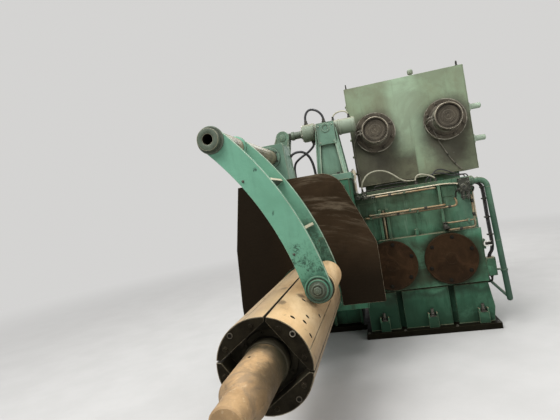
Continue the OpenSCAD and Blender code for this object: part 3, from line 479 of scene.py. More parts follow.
CYLINDER = paint("cylinder_green", (225, 270, 198), (150, 185, 135), (65, 58, 38), (460, 440, 330), grime_and_shade_share=0.9,
    streaks=0.6, floor_dirt_and_shade=0, speckle=0.45, wear=0.7, dust=0.4, shine=0.42)
# A pale copy of the arm green: a painted highlight on the right arm rims, the stand edges and the pedestal edge
# beads; the lifting pins and their collars use it as well.
PALE_GREEN_AND_HIGHLIGHT = paint("pale_green_and_highlight", (360, 455, 350), (260, 330, 250), (100, 100, 70), (580, 600, 500), grime_and_shade_share=0.45,
    streaks=0.35, floor_dirt_and_shade=0, speckle=0.4, wear=0.6, dust=0.2, shine=0.40)
COVER = metal_skin("cover_rust", (31, 17, 8), (18, 10, 5), (11, 7, 5), (85, 70, 42), scale=4, metal=0, shine=0.60,
    edge_share=0.35, depth=0.0022, extra=cover_rings, specular=0.04)
PLATE = metal_skin("plate_rust", (38, 24, 13), (22, 14, 7), (14, 10, 6), (340, 290, 200), grain=(0.5, 1, 6),
    scale=2.2, metal=0, shine=0.56, edge_share=0.9, depth=0.0016, extra=guard_streaks_and_shadow, specular=0.04)
TAN = metal_skin("worn_steel", (645, 440, 226), (490, 325, 166), (215, 148, 82), (800, 680, 460), grain=(1.2, 0.16,
    1.2), scale=3.2, metal=0.10, shine=0.40, grime_and_shade_share=0.55, specular=0.25, extra=tan_stains_and_painted_light)
NOSE = metal_skin("nose_steel", (440, 286, 143), (290, 186, 94), (115, 78, 43), (560, 440, 270), grain=(1.5, 0.5,
    1.5), scale=6.5, metal=0.08, shine=0.46, grime_and_shade_share=0.6, edge_share=0.4, depth=0.002, specular=0.12,
    extra=nose_marks_and_shade)
SHAFT = metal_skin("shaft_cream", (275, 250, 165), (150, 142, 95), (55, 48, 30), (580, 520, 380), grain=(1.6, 0.2,
    1.6), metal=0.10, shine=0.40, grime_and_shade_share=0.85, specular=0.25)
RING = metal_skin("ring_steel", (108, 135, 99), (58, 72, 52), (22, 22, 15), (250, 270, 200), scale=9, metal=0.15,
    shine=0.42, grime_and_shade_share=0.9, specular=0.25)
SOOTY = metal_skin("sooty_steel", (86, 72, 50), (50, 42, 30), (20, 16, 12), (340, 300, 230), scale=7, metal=0.10,
    shine=0.50, grime_and_shade_share=0.85, edge_share=0.55, specular=0.2, extra=drum_scuffs_and_glints)
# Bright steel: on the drum rims a painted highlight, shaded below.
RIM = metal_skin("drum_rim", (460, 410, 310), (220, 190, 140), (70, 55, 40), (800, 740, 600), scale=14, metal=0.45,
    shine=0.32, extra=rim_highlight_and_shade)
GREY = metal_skin("hose_grey", (400, 385, 290), (260, 250, 185), (90, 82, 56), (550, 530, 430), scale=9, metal=0,
    shine=0.50, specular=0.25)
STUB = metal_skin("grey_stub", (190, 175, 135), (105, 96, 74), (40, 34, 26), (500, 470, 380), scale=16, metal=0.2,
    shine=0.42, grime_and_shade_share=0.8)
SOLE = metal_skin("floor_steel", (9, 8, 4), (5, 4, 2), (6, 5, 3), (90, 75, 45), scale=6, metal=0, shine=0.62,
    grime_and_shade_share=0.9, edge_share=0.4, depth=0.002, specular=0.05)
COPPER = metal_skin("oil_pipe_copper", (400, 330, 210), (235, 150, 72), (45, 46, 28), (660, 580, 420), metal=0.25,
    shine=0.36, grime_and_shade_share=1, extra=pipe_dirt_and_shade)
DARK = metal_skin("dark_fitting", (34, 33, 25), (18, 18, 14), (9, 8, 6), (220, 200, 160), scale=16, metal=0.2,
    shine=0.42, edge_share=0.7, specular=0.25)
# On this dark metal the grime colour is pale: the patches and creases it lightens are painted highlights.
VALVE = metal_skin("valve_metal", (30, 31, 24), (16, 17, 13), (160, 165, 120), (340, 330, 260), scale=18, metal=0.2,
    shine=0.38, grime_and_shade_share=0.6, edge_share=0.9, specular=0.3)
GREEN_BOLT = paint("green_bolt", (50, 150, 98), (28, 90, 58), (16, 18, 12), (260, 300, 220), floor_dirt_and_shade=0.3, wear=1)
STEEL = metal_skin("bright_steel", (560, 540, 480), (360, 340, 290), (90, 80, 60), (800, 780, 700), scale=18,
    metal=0.6, shine=0.28, grime_and_shade_share=0.5)
CREAM = metal_skin("cream_plastic", (640, 575, 430), (470, 410, 290), (170, 140, 85), (780, 720, 580), scale=13,
    metal=0, shine=0.42, grime_and_shade_share=0.6)
WHITE = metal_skin("switch_white", (740, 730, 680), (550, 530, 460), (160, 140, 100), (850, 840, 800), scale=14,
    metal=0, shine=0.38, grime_and_shade_share=0.5)
RUBBER = metal_skin("hose_black", (30, 31, 33), (18, 18, 19), (55, 48, 35), (110, 110, 110), scale=20, metal=0,
    shine=0.46, grime_and_shade_share=0.5, edge_share=0.3)
# Dark oily brown for the core face and nose root ring inside the mandrel: partly oil, partly painted shade of the
# recess.
RECESS_OIL_AND_SHADE = metal_skin("oily_and_shaded_recess", (58, 50, 31), (36, 31, 20), (18, 16, 11), (80, 70, 48), scale=9, metal=0,
    shine=0.62, edge_share=0.4, specular=0.10)
# Near black: the cover bolts, end plugs and the nose pit are this dark; as the liner of the swing shaft bore it is
# a painted shade.
NEAR_BLACK_AND_SHADE = metal_skin("near_black_and_bore_shade", (12, 10, 7), (8, 7, 5), (4, 4, 3), (30, 27, 20), scale=9, metal=0, shine=0.65,
    edge_share=0.4, specular=0.08)
END = metal_skin("segment_end", (17, 14, 8), (9, 7, 4), (5, 4, 3), (120, 95, 60), scale=14, metal=0, shine=0.55,
    edge_share=0.4, depth=0.004, specular=0.05)

SLOT_OF = {"case_green": (CASE, MACHINE, PIPE_GREEN, GREEN_BOLT), "faded_green": (FADED,), "arm_green": (ARM, BOSS,
    CROSS, DRIVE, CYLINDER, PALE_GREEN_AND_HIGHLIGHT), "cover_rust": (COVER,), "plate_rust": (PLATE,), "worn_steel": (TAN, NOSE, SHAFT,
    RING, RIM, STUB, STEEL), "sooty_steel": (SOOTY, DARK, NEAR_BLACK_AND_SHADE, RECESS_OIL_AND_SHADE, END, VALVE), "floor_steel": (SOLE,),
    "oil_pipe_copper": (COPPER,), "cream_plastic": (CREAM, GREY, WHITE), "hose_black": (RUBBER,), }
SLOT = {mat.name: slot for slot, mats in SLOT_OF.items() for mat in mats}

NODE_MATERIALS = {CASE: ["hold_down_lugs", "base_frame", "gear_case", "upper_neck", "junction_box"],
    MACHINE: ["mandrel_housing", "housing_foot", "mandrel_sleeve", "guard_plate_standoffs"],
    PIPE_GREEN: ["oil_pipe"], FADED: ["upper_housing"], ARM: ["arm_plate_front", "arm_plate_back"],
    CROSS: ["arm_cross_plates"], DRIVE: ["shaft_pedestal_front", "shaft_pedestal_back", "pedestal_side_plates",
    "cylinder_stand_front", "cylinder_stand_back", "drive_base_plate", "crank_lever"], CYLINDER: ["arm_cylinder",
    "breather_cap"], PALE_GREEN_AND_HIGHLIGHT: ["lifting_pins"], COVER: ["bearing_cover_left", "bearing_cover_right",
    "rear_cover_left", "rear_cover_right", "mandrel_rear_cover"], PLATE: ["guard_plate"],
    TAN: ["mandrel_segment_%d" % k for k in range(1, 5)] + ["press_roll"], NOSE: ["mandrel_core"],
    SHAFT: ["swing_shaft"], RING: ["roll_axle", "piston_rod"], SOOTY: ["drum_left", "drum_right"],
    SOLE: ["gear_case_sole", "housing_sole"], COPPER: ["front_pipes"], DARK: ["lifting_eyes"],
    VALVE: ["valve_block"], CREAM: ["hose_loops", "relief_valve"], RUBBER: ["cylinder_hoses"], }
for mat, names in NODE_MATERIALS.items():
    for name in names:
        nodes[name].data.materials.clear()
        nodes[name].data.materials.append(mat)


# ---- mesh helpers, all in millimetres
def cut(row, count):
    """Cuts a row of numbers into points."""
    return list(zip(*[iter(row)] * count))


def path(*row):
    return cut(row, 3)


def at_y(y, *row):
    """Points given by x and z, all at one depth."""
    return [(x, y, z) for x, z in cut(row, 2)]


def polar(centre, r, degrees, y):
    a = math.radians(degrees)
    return (centre[0] + r * math.cos(a), y, centre[1] + r * math.sin(a))


def ring(centre, r, start, count, y):
    """The places of a bolt circle round an axis along Y."""
    return [polar(centre, r, start + 360 * k / count, y) for k in range(count)]


def basis(axis):
    """Columns: two side directions and the axis itself."""
    ahead = Vector(axis).normalized()
    side = Vector(UP) if abs(ahead.z) < 0.9 else Vector(RIGHT)
    u = side.cross(ahead).normalized()
    return Matrix((u, ahead.cross(u), ahead)).transposed()


def curved(points, per=8):
    """Catmull-Rom points through the given ones."""
    p = [Vector(q) for q in points]
    p = [p[0] * 2 - p[1]] + p + [p[-1] * 2 - p[-2]]
    out = []
    for a, b, c, d in zip(p, p[1:], p[2:], p[3:]):
        for k in range(per):
            t = k / per
            bend, twist = 2 * a - 5 * b + 4 * c - d, 3 * b - a - 3 * c + d
            out.append(0.5 * ((2 * b) + (c - a) * t + bend * t * t + twist * t ** 3))
    return out + [p[-2]]


def line(*ends):
    """Points every 20 mm between two ends."""
    a, b = [Vector(q) for q in cut(ends, 3)]
    n = max(2, int((b - a).length / 20))
    return [a.lerp(b, i / n) for i in range(n + 1)]


def circle(at, axis, r, n, start=0, end=360):
    m = basis(axis)
    turns = [math.radians(start + (end - start) * i / n) for i in range(n + 1)]
    return [Vector(at) + m @ Vector((r * math.cos(a), r * math.sin(a), 0)) for a in turns]


class Piece:
    """One named piece of mesh, finished when its with block ends."""

    def __init__(self, name, mat, body="frame", smooth=35):
        self.name, self.mat, self.body, self.smooth = name, mat, body, smooth
        self.bm = bmesh.new()

    def __enter__(self):
        return self

    def __exit__(self, *trouble):
        bmesh.ops.recalc_face_normals(self.bm, faces=self.bm.faces)
        mesh = bpy.data.meshes.new(self.name)
        self.bm.to_mesh(mesh)
        self.bm.free()
        mesh.transform(Matrix.Scale(MM, 4))
        mesh.polygons.foreach_set("use_smooth", [True] * len(mesh.polygons))
        mesh.set_sharp_from_angle(angle=math.radians(self.smooth))
        mesh.materials.append(self.mat)
        obj = bpy.data.objects.new(self.name, mesh)
        scene.collection.objects.link(obj)
        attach(obj, self.body)

    def lathe(self, at, axis, profile, segments=48, turn=0.0):
        """Turns a profile round the axis: radius, distance along it, radius, distance and so on."""
        turned = basis(axis)
        rings = []
        for radius, along in cut(profile, 2):
            angles = [turn + 2 * math.pi * i / segments for i in range(segments if radius else 1)]
            rings.append([self.bm.verts.new(Vector(at) + turned @ Vector((radius * math.cos(a),
                radius * math.sin(a), along))) for a in angles])
        for one, two in zip(rings, rings[1:]):
            for i in range(segments):
                j = (i + 1) % segments
                corners = (one[i % len(one)], two[i % len(two)], two[j % len(two)], one[j % len(one)])
                self.bm.faces.new(tuple(dict.fromkeys(corners)))

    def bolt(self, at, axis, r, head, washer=True):
        """A hexagon head on a washer, its foot at the given point."""
        turn = rand.uniform(0, 1)
        foot = 0
        if washer:
            self.lathe(at, axis, (0, -1, r * 1.35, -1, r * 1.35, r * 0.16, r * 1.28, r * 0.22, 0, r * 0.22), 24)
            foot = r * 0.20
        h = r * 2 * head
        self.lathe(at, axis, (0, foot, r, foot, r, foot + h * 0.82, r * 0.86, foot + h, 0, foot + h), 6, turn)

    def box(self, corners, chamfer):
        low, high = [[pick(pair) for pair in zip(corners[:3], corners[3:])] for pick in (min, max)]
        made = bmesh.ops.create_cube(self.bm, size=1)["verts"]
        for v in made:
            v.co = [(a + b) / 2 + c * (b - a) for a, b, c in zip(low, high, v.co)]
        edges = {e for v in made for e in v.link_edges}
        bmesh.ops.bevel(self.bm, geom=list(edges), offset=chamfer, segments=2, affect="EDGES", profile=0.6)

    def tube(self, points, r, segments=12, lumps=0.0):
        """A closed tube along points, with a little unevenness for weld beads."""
        pts = [Vector(q) for q in points]
        up = (pts[1] - pts[0]).normalized().orthogonal().normalized()
        angles = [2 * math.pi * k / segments for k in range(segments)]
        rings = []
        for i, at in enumerate(pts):
            ahead = (pts[min(i + 1, len(pts) - 1)] - pts[max(i - 1, 0)]).normalized()
            up = (up - ahead * up.dot(ahead)).normalized()
            side = ahead.cross(up)
            rr = r * (1 + lumps * rand.uniform(-1, 1))
            rings.append([self.bm.verts.new(at + (up * math.cos(a) + side * math.sin(a)) * rr) for a in angles])
        for one, two in zip(rings, rings[1:]):
            for i in range(segments):
                j = (i + 1) % segments
                self.bm.faces.new((one[i], two[i], two[j], one[j]))
        self.bm.faces.new(rings[0][::-1])
        self.bm.faces.new(rings[-1])


def lathe(name, at, axis, profile, mat, body="frame", segments=64):
    with Piece(name, mat, body) as p:
        p.lathe(at, axis, profile, segments)


def bolts(name, places, axis, r, mat, body="frame", head=0.5, washer=True):
    with Piece(name, mat, body, 25) as p:
        for at in places:
            p.bolt(at, axis, r, head, washer)


def boxes(name, mat, chamfer, *corners):
    with Piece(name, mat, smooth=30) as p:
        for six in corners:
            p.box(six, chamfer)


def tubes(name, runs, r, mat, body="frame", segments=12, lumps=0.0):
    with Piece(name, mat, body, 50) as p:
        for points in runs:
            p.tube(points, r, segments, lumps)


# ---- hoses
def hose(name, mat, r, points):
    """A flexible hose held at both ends."""
    pts = [q * MM for q in curved(points)]
    r = r * MM
    curve = bpy.data.curves.new(name, "CURVE")
    curve.dimensions = "3D"
    curve.bevel_depth = r
    curve.bevel_resolution = 4
    curve.use_fill_caps = True
    spline = curve.splines.new("POLY")
    spline.points.add(len(pts) - 1)
    for q, at in zip(spline.points, pts):
        q.co = (*at, 1.0)
    obj = bpy.data.objects.new(name, curve)
    scene.collection.objects.link(obj)
    curve.materials.append(mat)
    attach(obj, "frame")
    length = sum((b - a).length for a, b in zip(pts, pts[1:]))
    tuple(pts[0])
    return obj


HEAD_TOP, TUBE_TOP, HEAD_LOW = CYL_Z + 91.2, CYL_Z + 78.2, CYL_Z - 91.2
head_loop = hose("hose_cylinder_head", RUBBER, 12, at_y(CYL_Y, -929, HEAD_TOP, -930, HEAD_TOP + 45, -924, 2395,
    -900, 2436, -858, 2453, -800, 2432, -760, 2390, -743, 2345, -742, TUBE_TOP))
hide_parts("cylinder_hoses")
hose("hose_cylinder_tail", GREY, 7.5, at_y(CYL_Y, -644, TUBE_TOP, -642, 2325, -622, 2354, -585, 2370, -545, 2373,
    -508, 2362, -486, 2335, -481, TUBE_TOP))
hose("hose_cylinder_drop", RUBBER, 12, at_y(CYL_Y, -879, HEAD_LOW, -882, 2085, -905, 2055, -960, 2015, -1040, 1975,
    -1100, 1930, -1123, 1870, -1126, 1800, -1126, DRIVE_TOP))
hose("hose_pedestal_arc", RUBBER, 13, path(-1116, -645, 1985, -1085, -640, 2010, -1040, -620, 2022, -985, -595,
    2012, -940, -570, 1965, -915, -550, 1890, -905, -540, 1800, -903, -538, DRIVE_TOP))
left_loop = hose("hose_loop_left", GREY, 7.5, at_y(-400, -464, CASE_TOP, -464, 1560, -443, 1622, -385, 1682, -308,
    1703, -238, 1696, -178, 1670, -128, 1632, -78, 1587, -20, 1552, 45, 1545, 80, 1536, 85, CASE_TOP))
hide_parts("hose_loops")
hose("hose_loop_right", GREY, 7.5, at_y(-438, 71, CASE_TOP, 71, 1545, 84, 1575, 110, 1591, 145, 1590, 200, 1572,
    240, 1550, 260, 1530, 263, CASE_TOP))
hose("cable_top_front", RUBBER, 6, path(225, -330, CASE_TOP, 240, -326, 1545, 290, -316, 1605, 345, -312, 1612, 400,
    -316, 1588, 455, -326, 1556, 510, -350, 1532, 560, -385, 1524, 575, -398, CASE_TOP))
hose("cable_top_rear", RUBBER, 6, path(175, -345, CASE_TOP, 195, -342, 1540, 260, -336, 1578, 350, -338, 1570, 430,
    -352, 1536, 490, -380, 1526, 530, -405, 1524, 542, -412, CASE_TOP))

with Piece("hose_fittings", DARK) as p:
    for x, y, z, r in ((-929, CYL_Y, HEAD_TOP, 12), (-742, CYL_Y, TUBE_TOP, 12), (-644, CYL_Y, TUBE_TOP, 8), (-481,
            CYL_Y, TUBE_TOP, 8), (-879, CYL_Y, HEAD_LOW, 12), (-1126, CYL_Y, DRIVE_TOP, 12), (-903, -538, DRIVE_TOP,
            13), (-464, -400, CASE_TOP, 8), (85, -400, CASE_TOP, 8), (71, -438, CASE_TOP, 8), (263, -438, CASE_TOP,
            8)):
        axis = DOWN if z == HEAD_LOW else UP
        p.lathe((x, y, z), axis, (0, -4, r * 1.9, -4, r * 1.9, 14, r * 1.6, 17, 0, 17), 6)
        p.lathe((x, y, z), axis, (0, 16, r * 1.35, 16, r * 1.35, 22, r * 1.22, 24, r * 1.35, 27, r * 1.22, 30,
            r * 1.35, 34, r * 1.22, 40, 0, 40), 20)

# ---- gear case
for name, y, axis, start in (("front", CASE_FRONT - 35, FRONT, 81), ("rear", 525, REAR, 99)):
    places = [at for x in (-COVER_X, COVER_X) for at in ring((x, SHAFT_Z), 212, start, 6, y)]
    bolts("cover_bolts_" + name, places, axis, 14, NEAR_BLACK_AND_SHADE, head=0.42)
with Piece("cover_rims", COVER) as p:
    for x in (-COVER_X, COVER_X):
        p.lathe((x, CASE_FRONT - 35, SHAFT_Z), FRONT, (252, -4, 249, 1.5, 238, 2.5, 236, 0), 96)
        p.lathe((x, CASE_FRONT - 35, SHAFT_Z), FRONT, (62, 0, 60, 2, 52, 2, 50, 0))
bolts("rear_mandrel_cover_bolts", ring(AXIS, 212, 90, 6, 465), REAR, 13, COVER)
bolts("flange_nuts_front", [(-530 + 115.5 * k, -444, 1455) for k in range(10)], DOWN, 11, GREEN_BOLT, head=0.4)
y = WALL_FRONT - 1
welds = [line(x, y, PAD_TOP, x, y, 1300) for x in (-338, -314, -266, -242)]
welds += [line(x, y, PAD_TOP, x, y, 1452) for x in (262, 286)]
welds += [line(-381, WALL_FRONT, PAD_TOP, CASE_RIGHT, WALL_FRONT, PAD_TOP), line(-555, WALL_FRONT, 1455, CASE_RIGHT,
    WALL_FRONT, 1455), line(CASE_RIGHT, CASE_FRONT + 2, PAD_LOW, CASE_RIGHT, CASE_FRONT + 2, PAD_TOP)]
for x0, x1 in ((-595, -297.5), (-235.5, 213), (275, 603)):
    welds += [line(x0, -456, 57, x1, -456, 57), line(x0, -456, 438, min(x1, CASE_RIGHT), -456, 438)]
welds += [line(x, -455, 57, x, -455, 438) for x in (-297.5, -235.5, 213, 275)]
tubes("case_welds", welds, 4.5, CASE, segments=8, lumps=0.22)
boxes("case_trim", CASE, 3, (-545, WALL_FRONT - 6, 1385, -345, WALL_FRONT + 1, 1452), (300, WALL_FRONT - 6, 1330,
    430, WALL_FRONT + 1, 1450))
boxes("case_lugs", CASE, 3, (-10, -470, PAD_TOP, 22, -429, 1052), (0, -474, 1040, 12, -468, 1066))
thread = [part for k in range(11) for part in (15, 4.5 * k, 12.8, 4.5 * k + 2.25)]
anchors = [(x, sign) for x in (-446, 30, 506) for sign in (-1, 1)]
with Piece("anchor_studs", DARK) as p:
    for x, sign in anchors:
        p.lathe((x, sign * 481, 165), UP, (0, 0, 34, 0, 34, 7, 31, 9, 0, 9), 32)
        p.lathe((x, sign * 481, 173), UP, (0, 0, 26, 0, 26, 22, 22, 26, 0, 26), 6, 0.4)
        p.lathe((x, sign * 481, 196), UP, (0, 0, *thread, 0, 49.5), 24)
with Piece("anchor_chair_cheeks", MACHINE) as p:
    for x, sign in anchors:
        for side in (-40, 40):
            p.box((x + side - 6, sign * 456, 150, x + side + 6, sign * 512, 200), 2)
bolts("sole_bolts", [(x, -522, 56) for x in (-620, -260, 240, 620)], UP, 11, DARK)

# ---- switch, junction box and side cables
boxes("switch_plate", CASE, 1.5, (612, -500, 776, 618, -440, 870), (594, -500, 776, 618, -494, 870))
boxes("switch_body", DARK, 4, (602, -514, 800, 672, -494, 852))
rim = at_y(-512, 668, 845.5, 616, 845.5, 607, 840, 604, 826, 607, 812, 616, 806.5, 668, 806.5)
tubes("switch_frame", [curved(rim, 6)], 6.8, WHITE)
boxes("junction_box_lid", CASE, 3, (600, -492, 510, 682, -484, 675))
bolts("junction_box_screws", [(x, -492, z) for x in (609, 673) for z in (520, 665)], FRONT, 5, DARK, washer=False)
conduit = path(641, -440, 505, 641, -440, 470, 636, -420, 440, 610, -400, 432, 594, -396, 432)
tubes("junction_box_conduit", [curved(conduit, 6)], 10, DARK)
lathe("junction_box_gland", (641, -440, 505), DOWN, (0, 0, 17, 0, 17, 12, 13, 16, 13, 26, 0, 26), DARK, segments=24)
cable = path(590, -500, 1424, 628, -512, 1418, 656, -520, 1385, 664, -522, 1300, 666, -522, 1100, 670, -520, 950,
    674, -512, 840, 670, -485, 760, 652, -455, 715, 641, -440, 678)
tubes("side_cables", [curved([(x + dx, y + dy, z) for x, y, z in cable], 6) for dx, dy in ((-10, 3), (7.5, 0), (-2,
    18))], 8.5, RUBBER)
with Piece("side_cable_clips", DARK) as p:
    for z in (905, 1075, 1255, 1365):
        p.box((640, -538, z, 690, -488, z + 14), 4)
        p.box((686, -552, z + 2, 700, -520, z + 12), 2)

# ---- oil pipe and thin pipes
OIL_Y, OIL_Z = -550, 1452
with Piece("oil_pipe_flanges", PIPE_GREEN) as p:
    for x in (546, 565):
        p.lathe((x, OIL_Y, OIL_Z), RIGHT, (0, 0, 44, 0, 44, 15, 42, 17, 0, 17))
bolts("oil_pipe_flange_bolts", [(x, y, z) for y, x, z in ring((OIL_Y, OIL_Z), 36.5, 45, 4, 582)], RIGHT, 6, DARK,
    washer=False)
top = Vector((697, OIL_Y, OIL_Z))
down = (Vector((744, OIL_Y, 290)) - top).normalized()
rings = [circle((625, OIL_Y, OIL_Z), RIGHT, 27.2, 40)]
rings += [circle(top + down * along, down, 27.2, 40) for along in (80, 600)]
tubes("oil_pipe_welds", rings, 3, PIPE_GREEN, segments=8, lumps=0.25)
at = top + down * 890
with Piece("oil_pipe_brackets", PIPE_GREEN) as p:
    p.lathe(at, down, (26.5, -11, 31, -11, 32, -9, 32, 9, 31, 11, 26.5, 11), 40)
    p.box((686, -500, at.z - 8, at.x - 12, -480, at.z + 8), 2)
    p.box((at.x - 26, -535, at.z - 8, at.x - 14, -482, at.z + 8), 2)
with Piece("pipe_unions", DARK) as p:
    for at in path(-200, -510, 1437, -150, -510, 1233, 345, -510, 1233, 120, -532, 1257, 420, -510, 1006):
        p.lathe(at, RIGHT, (0, -14, 12.5, -14, 12.5, -5, 15, -4, 15, 7, 12.5, 8, 12.5, 14, 0, 14), 12)
    for z in (1260, 1130):
        p.lathe((554, -510, z), UP, (0, -18, 13.5, -18, 13.5, 0, 16.5, 1, 16.5, 14, 0, 14), 12)
    # tap
    p.box((256, -526, 1018, 297, -479.5, 1062), 4)
    p.lathe((276, -525, 1040), FRONT, (0, 0, 20, 0, 20, 10, 13, 14, 13, 26, 0, 26), 20)
    p.lathe((276, -505, 1060), UP, (0, -2, 12, -2, 12, 14, 19, 16, 19, 26, 0, 26), 16)
    p.lathe((297, -510, 1030), RIGHT, (0, -2, 13, -2, 13, 16, 0, 16), 6)
with Piece("pipe_saddles", CASE) as p:
    for x, y, z in path(-60, -523, 1437, -420, -523, 1233, 40, -523, 1233, -30, -545, 1257, 500, -523, 1075):
        p.box((x - 8, y, z - 13, x + 8, WALL_FRONT + 1, z + 13), 2)
runs = (path(-500, -500, 1462, -300, -505, 1462, 100, -505, 1462, 300, -500, 1462, 420, -500, 1450, 452, -520,
    1440), path(577, WALL_FRONT, 1350, 577, -480, 1348, 577, -486, 1300, 577, -486, 1150, 577, -480, 1100, 577,
    WALL_FRONT, 1095))
tubes("thin_pipes", map(curved, runs), 6.5, CREAM)

# ---- valves
with Piece("valve_fittings", VALVE) as p:
    for x in (473, 519):
        p.lathe((x, -560, 1360), DOWN, (0, -2, 23, -2, 23, 14, 19, 18, 19, 40, 22, 42, 22, 60, 12, 66, 12, 80, 0,
            80), 6)
    p.lathe((481, -590, 1408), FRONT, (0, 0, 30, 0, 30, 6, 24, 10, 24, 30, 17, 37, 17, 46, 0, 46), 8)
    p.lathe((524, -590, 1440), FRONT, (0, 0, 18, 0, 18, 20, 10, 26, 10, 38, 0, 38), 6)
    for at in at_y(-590, 463, 1475, 534, 1475, 463, 1375, 534, 1375):
        p.bolt(at, FRONT, 7, 0.5, False)
    p.tube(curved(path(540, -566, 1400, 566, -566, 1396, 580, -540, 1380, 578, -500, 1352), 6), 9)
    p.tube(curved(path(452, -560, 1390, 430, -560, 1385, 416, -540, 1360, 413, -512, 1310), 6), 8)
with Piece("pipe_manifold", VALVE) as p:
    p.box((-476, -538, 1430, -428, WALL_FRONT + 1, 1478), 4)
    p.box((-540, -522, 1440, -500, WALL_FRONT + 1, 1476), 4)
    for x, z, r in ((-428, 1450, 14), (-500, 1460, 13), (-380, 1437, 14.5)):
        p.lathe((x, -512, z), RIGHT, (0, -4, r, -4, r, 14, r * 0.75, 18, r * 0.75, 30, 0, 30), 6)
    for x, y, r in ((-462, -510, 12), (-442, -480, 10), (-520, -490, 12)):
        p.lathe((x, y, 1474), UP, (0, -2, r, -2, r, 12, r * 0.6, 16, r * 0.6, 26, r * 1.15, 28, r * 1.15, 36, 0,
            36), 8)
    p.lathe((-452, -537, 1452), FRONT, (0, 0, 15, 0, 15, 8, 10, 12, 10, 20, 0, 20), 6)
runs = (path(-452, -470, 1478, -440, -462, 1500, -400, -452, 1512, -250, -446, 1510, -60, -440, 1510, -15, -430,
    1499), path(-340, -430, 1499, -335, -428, 1534, -310, -425, 1545, -150, -420, 1545, -30, -416, 1540, -10, -414,
    1499))
tubes("top_pipes", map(curved, runs), 6.5, DARK)
with Piece("relief_valve_nuts", STEEL) as p:
    p.lathe((-528, -400, 1500), UP, (0, 0, 26, 0, 26, 12, 20, 16, 20, 30, 0, 30), 6)
    p.lathe((-528, -400, 1620), UP, (0, 0, 21, 0, 21, 20, 0, 20), 6)
    p.lathe((-528, -400, 1748), UP, (0, 0, 14, 0, 14, 16, 8, 20, 0, 22), 6)
    p.lathe((-528, -424, 1700), FRONT, (0, 0, 13, 0, 13, 14, 8, 18, 0, 18), 6)

# ---- upper housing
flange = [at for x in DRUM_X for at in ring((x, DRUM_Z), 182, 22.5, 8, UP_FRONT - 60)]
bolts("drum_flange_bolts", flange, FRONT, 12, SOOTY)
with Piece("drum_rims", RIM) as p:
    for x in DRUM_X:
        p.lathe((x, -550, DRUM_Z), FRONT, (124, -3, 124, 1.5, 124.8, 2.8, 128.5, 2.8, 130.3, 1, 130.3, -4, 128, -6),
            96)
arcs = []
for x, spans in zip(DRUM_X, ((-38, 12, 20, 41, 78, 96, 118, 168, 186, 204), (-62, -28, -14, 20, 70, 88, 132, 182,
        192, 206))):
    for start, end in cut(spans, 2):
        arcs.append(circle((x, UP_FRONT - 59.5, DRUM_Z), FRONT, 206.5, 24, 180 - end, 180 - start))
tubes("drum_flange_glints", arcs, 2.6, STUB, segments=8, lumps=0.35)
with Piece("drum_faces", SOOTY) as p:
    for x in DRUM_X:
        p.lathe((x, -524, DRUM_Z), FRONT, (116, -1, 111, 3, 104, 3, 101, 6, 84, 6, 81, 3, 60, 3, 57, 7, 34, 7, 31,
            3, 11, 3, 9, 7, 0, 7), 64)
        p.lathe((x, UP_FRONT - 60, DRUM_Z), FRONT, (160, -1, 160, 10, 156, 13, 134, 16, 131, 20, 131, 30, 129, 30),
            80)
with Piece("drum_stubs", STUB) as p:
    for x in DRUM_X:
        for z in (DRUM_Z + 18, DRUM_Z - 12):
            p.tube(curved(path(x - 126, -505, z, x - 160, -506, z, x - 182, -496, z - 6, x - 190, -460, z - 12,
                x - 190, -330, z - 14), 6), 6.5)
        p.lathe((x - 145, -506, DRUM_Z + 3), UP, (0, -26, 9, -26, 9, 26, 0, 26), 8)
runs = (path(330, -338, 2015, 352, -337, 1955, 374, -300, 1900, 396, -282, 1857, 432, -280, 1776, 469, -280, 1700,
    519, -280, 1620, 550, -288, 1582), path(-436, -345, 2080, -470, -300, 2030, -482, -280, 1950, -478, -279, 1800,
    -470, -280, 1660, -462, -290, 1590))
tubes("drain_pipes", map(curved, runs), 5, STUB)
boxes("drain_clips", DARK, 2, (434, -289, 1748, 450, -268, 1760), (489, -289, 1648, 505, -268, 1660), (-486, -289,
    1700, -466, -268, 1712))
with Piece("lifting_eye_feet", DARK) as p:
    for x in (UP_LEFT + 22, UP_RIGHT - 47):
        for y in (UP_FRONT + 47, UP_BACK - 47):
            p.lathe((x, y, UP_TOP), UP, (0, -2, 26, -2, 26, 3, 24, 4, 0, 4), 32)
with Piece("breather_rings", CYLINDER) as p:
    p.lathe((216, -150, UP_TOP), UP, (0, -2, 32, -2, 32, 6, 29, 9, 17, 9), 6)
    for z in (50, 60):
        p.lathe((216, -150, UP_TOP + z), UP, (28.8, 0, 30.5, 1, 30.5, 4, 28.8, 5), 40)
y = UP_FRONT - 1
welds = [line(UP_LEFT + 2, y, UP_LOW + 3, UP_RIGHT - 2, y, UP_LOW + 3)]
welds += [line(x, y, UP_LOW, x, y, UP_TOP - 4) for x in (UP_LEFT, UP_RIGHT)]
tubes("upper_welds", welds, 4, FADED, segments=8, lumps=0.2)
boxes("upper_seam", FADED, 1, (131, UP_FRONT - 3, UP_LOW, 136, UP_FRONT + 2, 1905))
boxes("upper_side_plates", FADED, 4, (UP_RIGHT - 1, -120, 1700, UP_RIGHT + 12, 380, 2500), (UP_LEFT - 12, -120,
    1700, UP_LEFT + 1, 330, 2500))
side = [(UP_RIGHT + 12, y, z) for y in (-95, 60, 210, 355) for z in (1725, 2475)]
side += [(UP_RIGHT + 12, y, z) for y in (-95, 355) for z in (1910, 2100, 2290)]
bolts("upper_side_bolts", side, RIGHT, 12, FADED)
bolts("upper_side_bolts_left", [(UP_LEFT - 12, y * 0.92, z) for x, y, z in side], LEFT, 12, FADED)
boxes("upper_rear_plates", FADED, 4, *[(x, UP_BACK - 1, 1760, x + 460, UP_BACK + 12, 2440) for x in (-400, 160)])
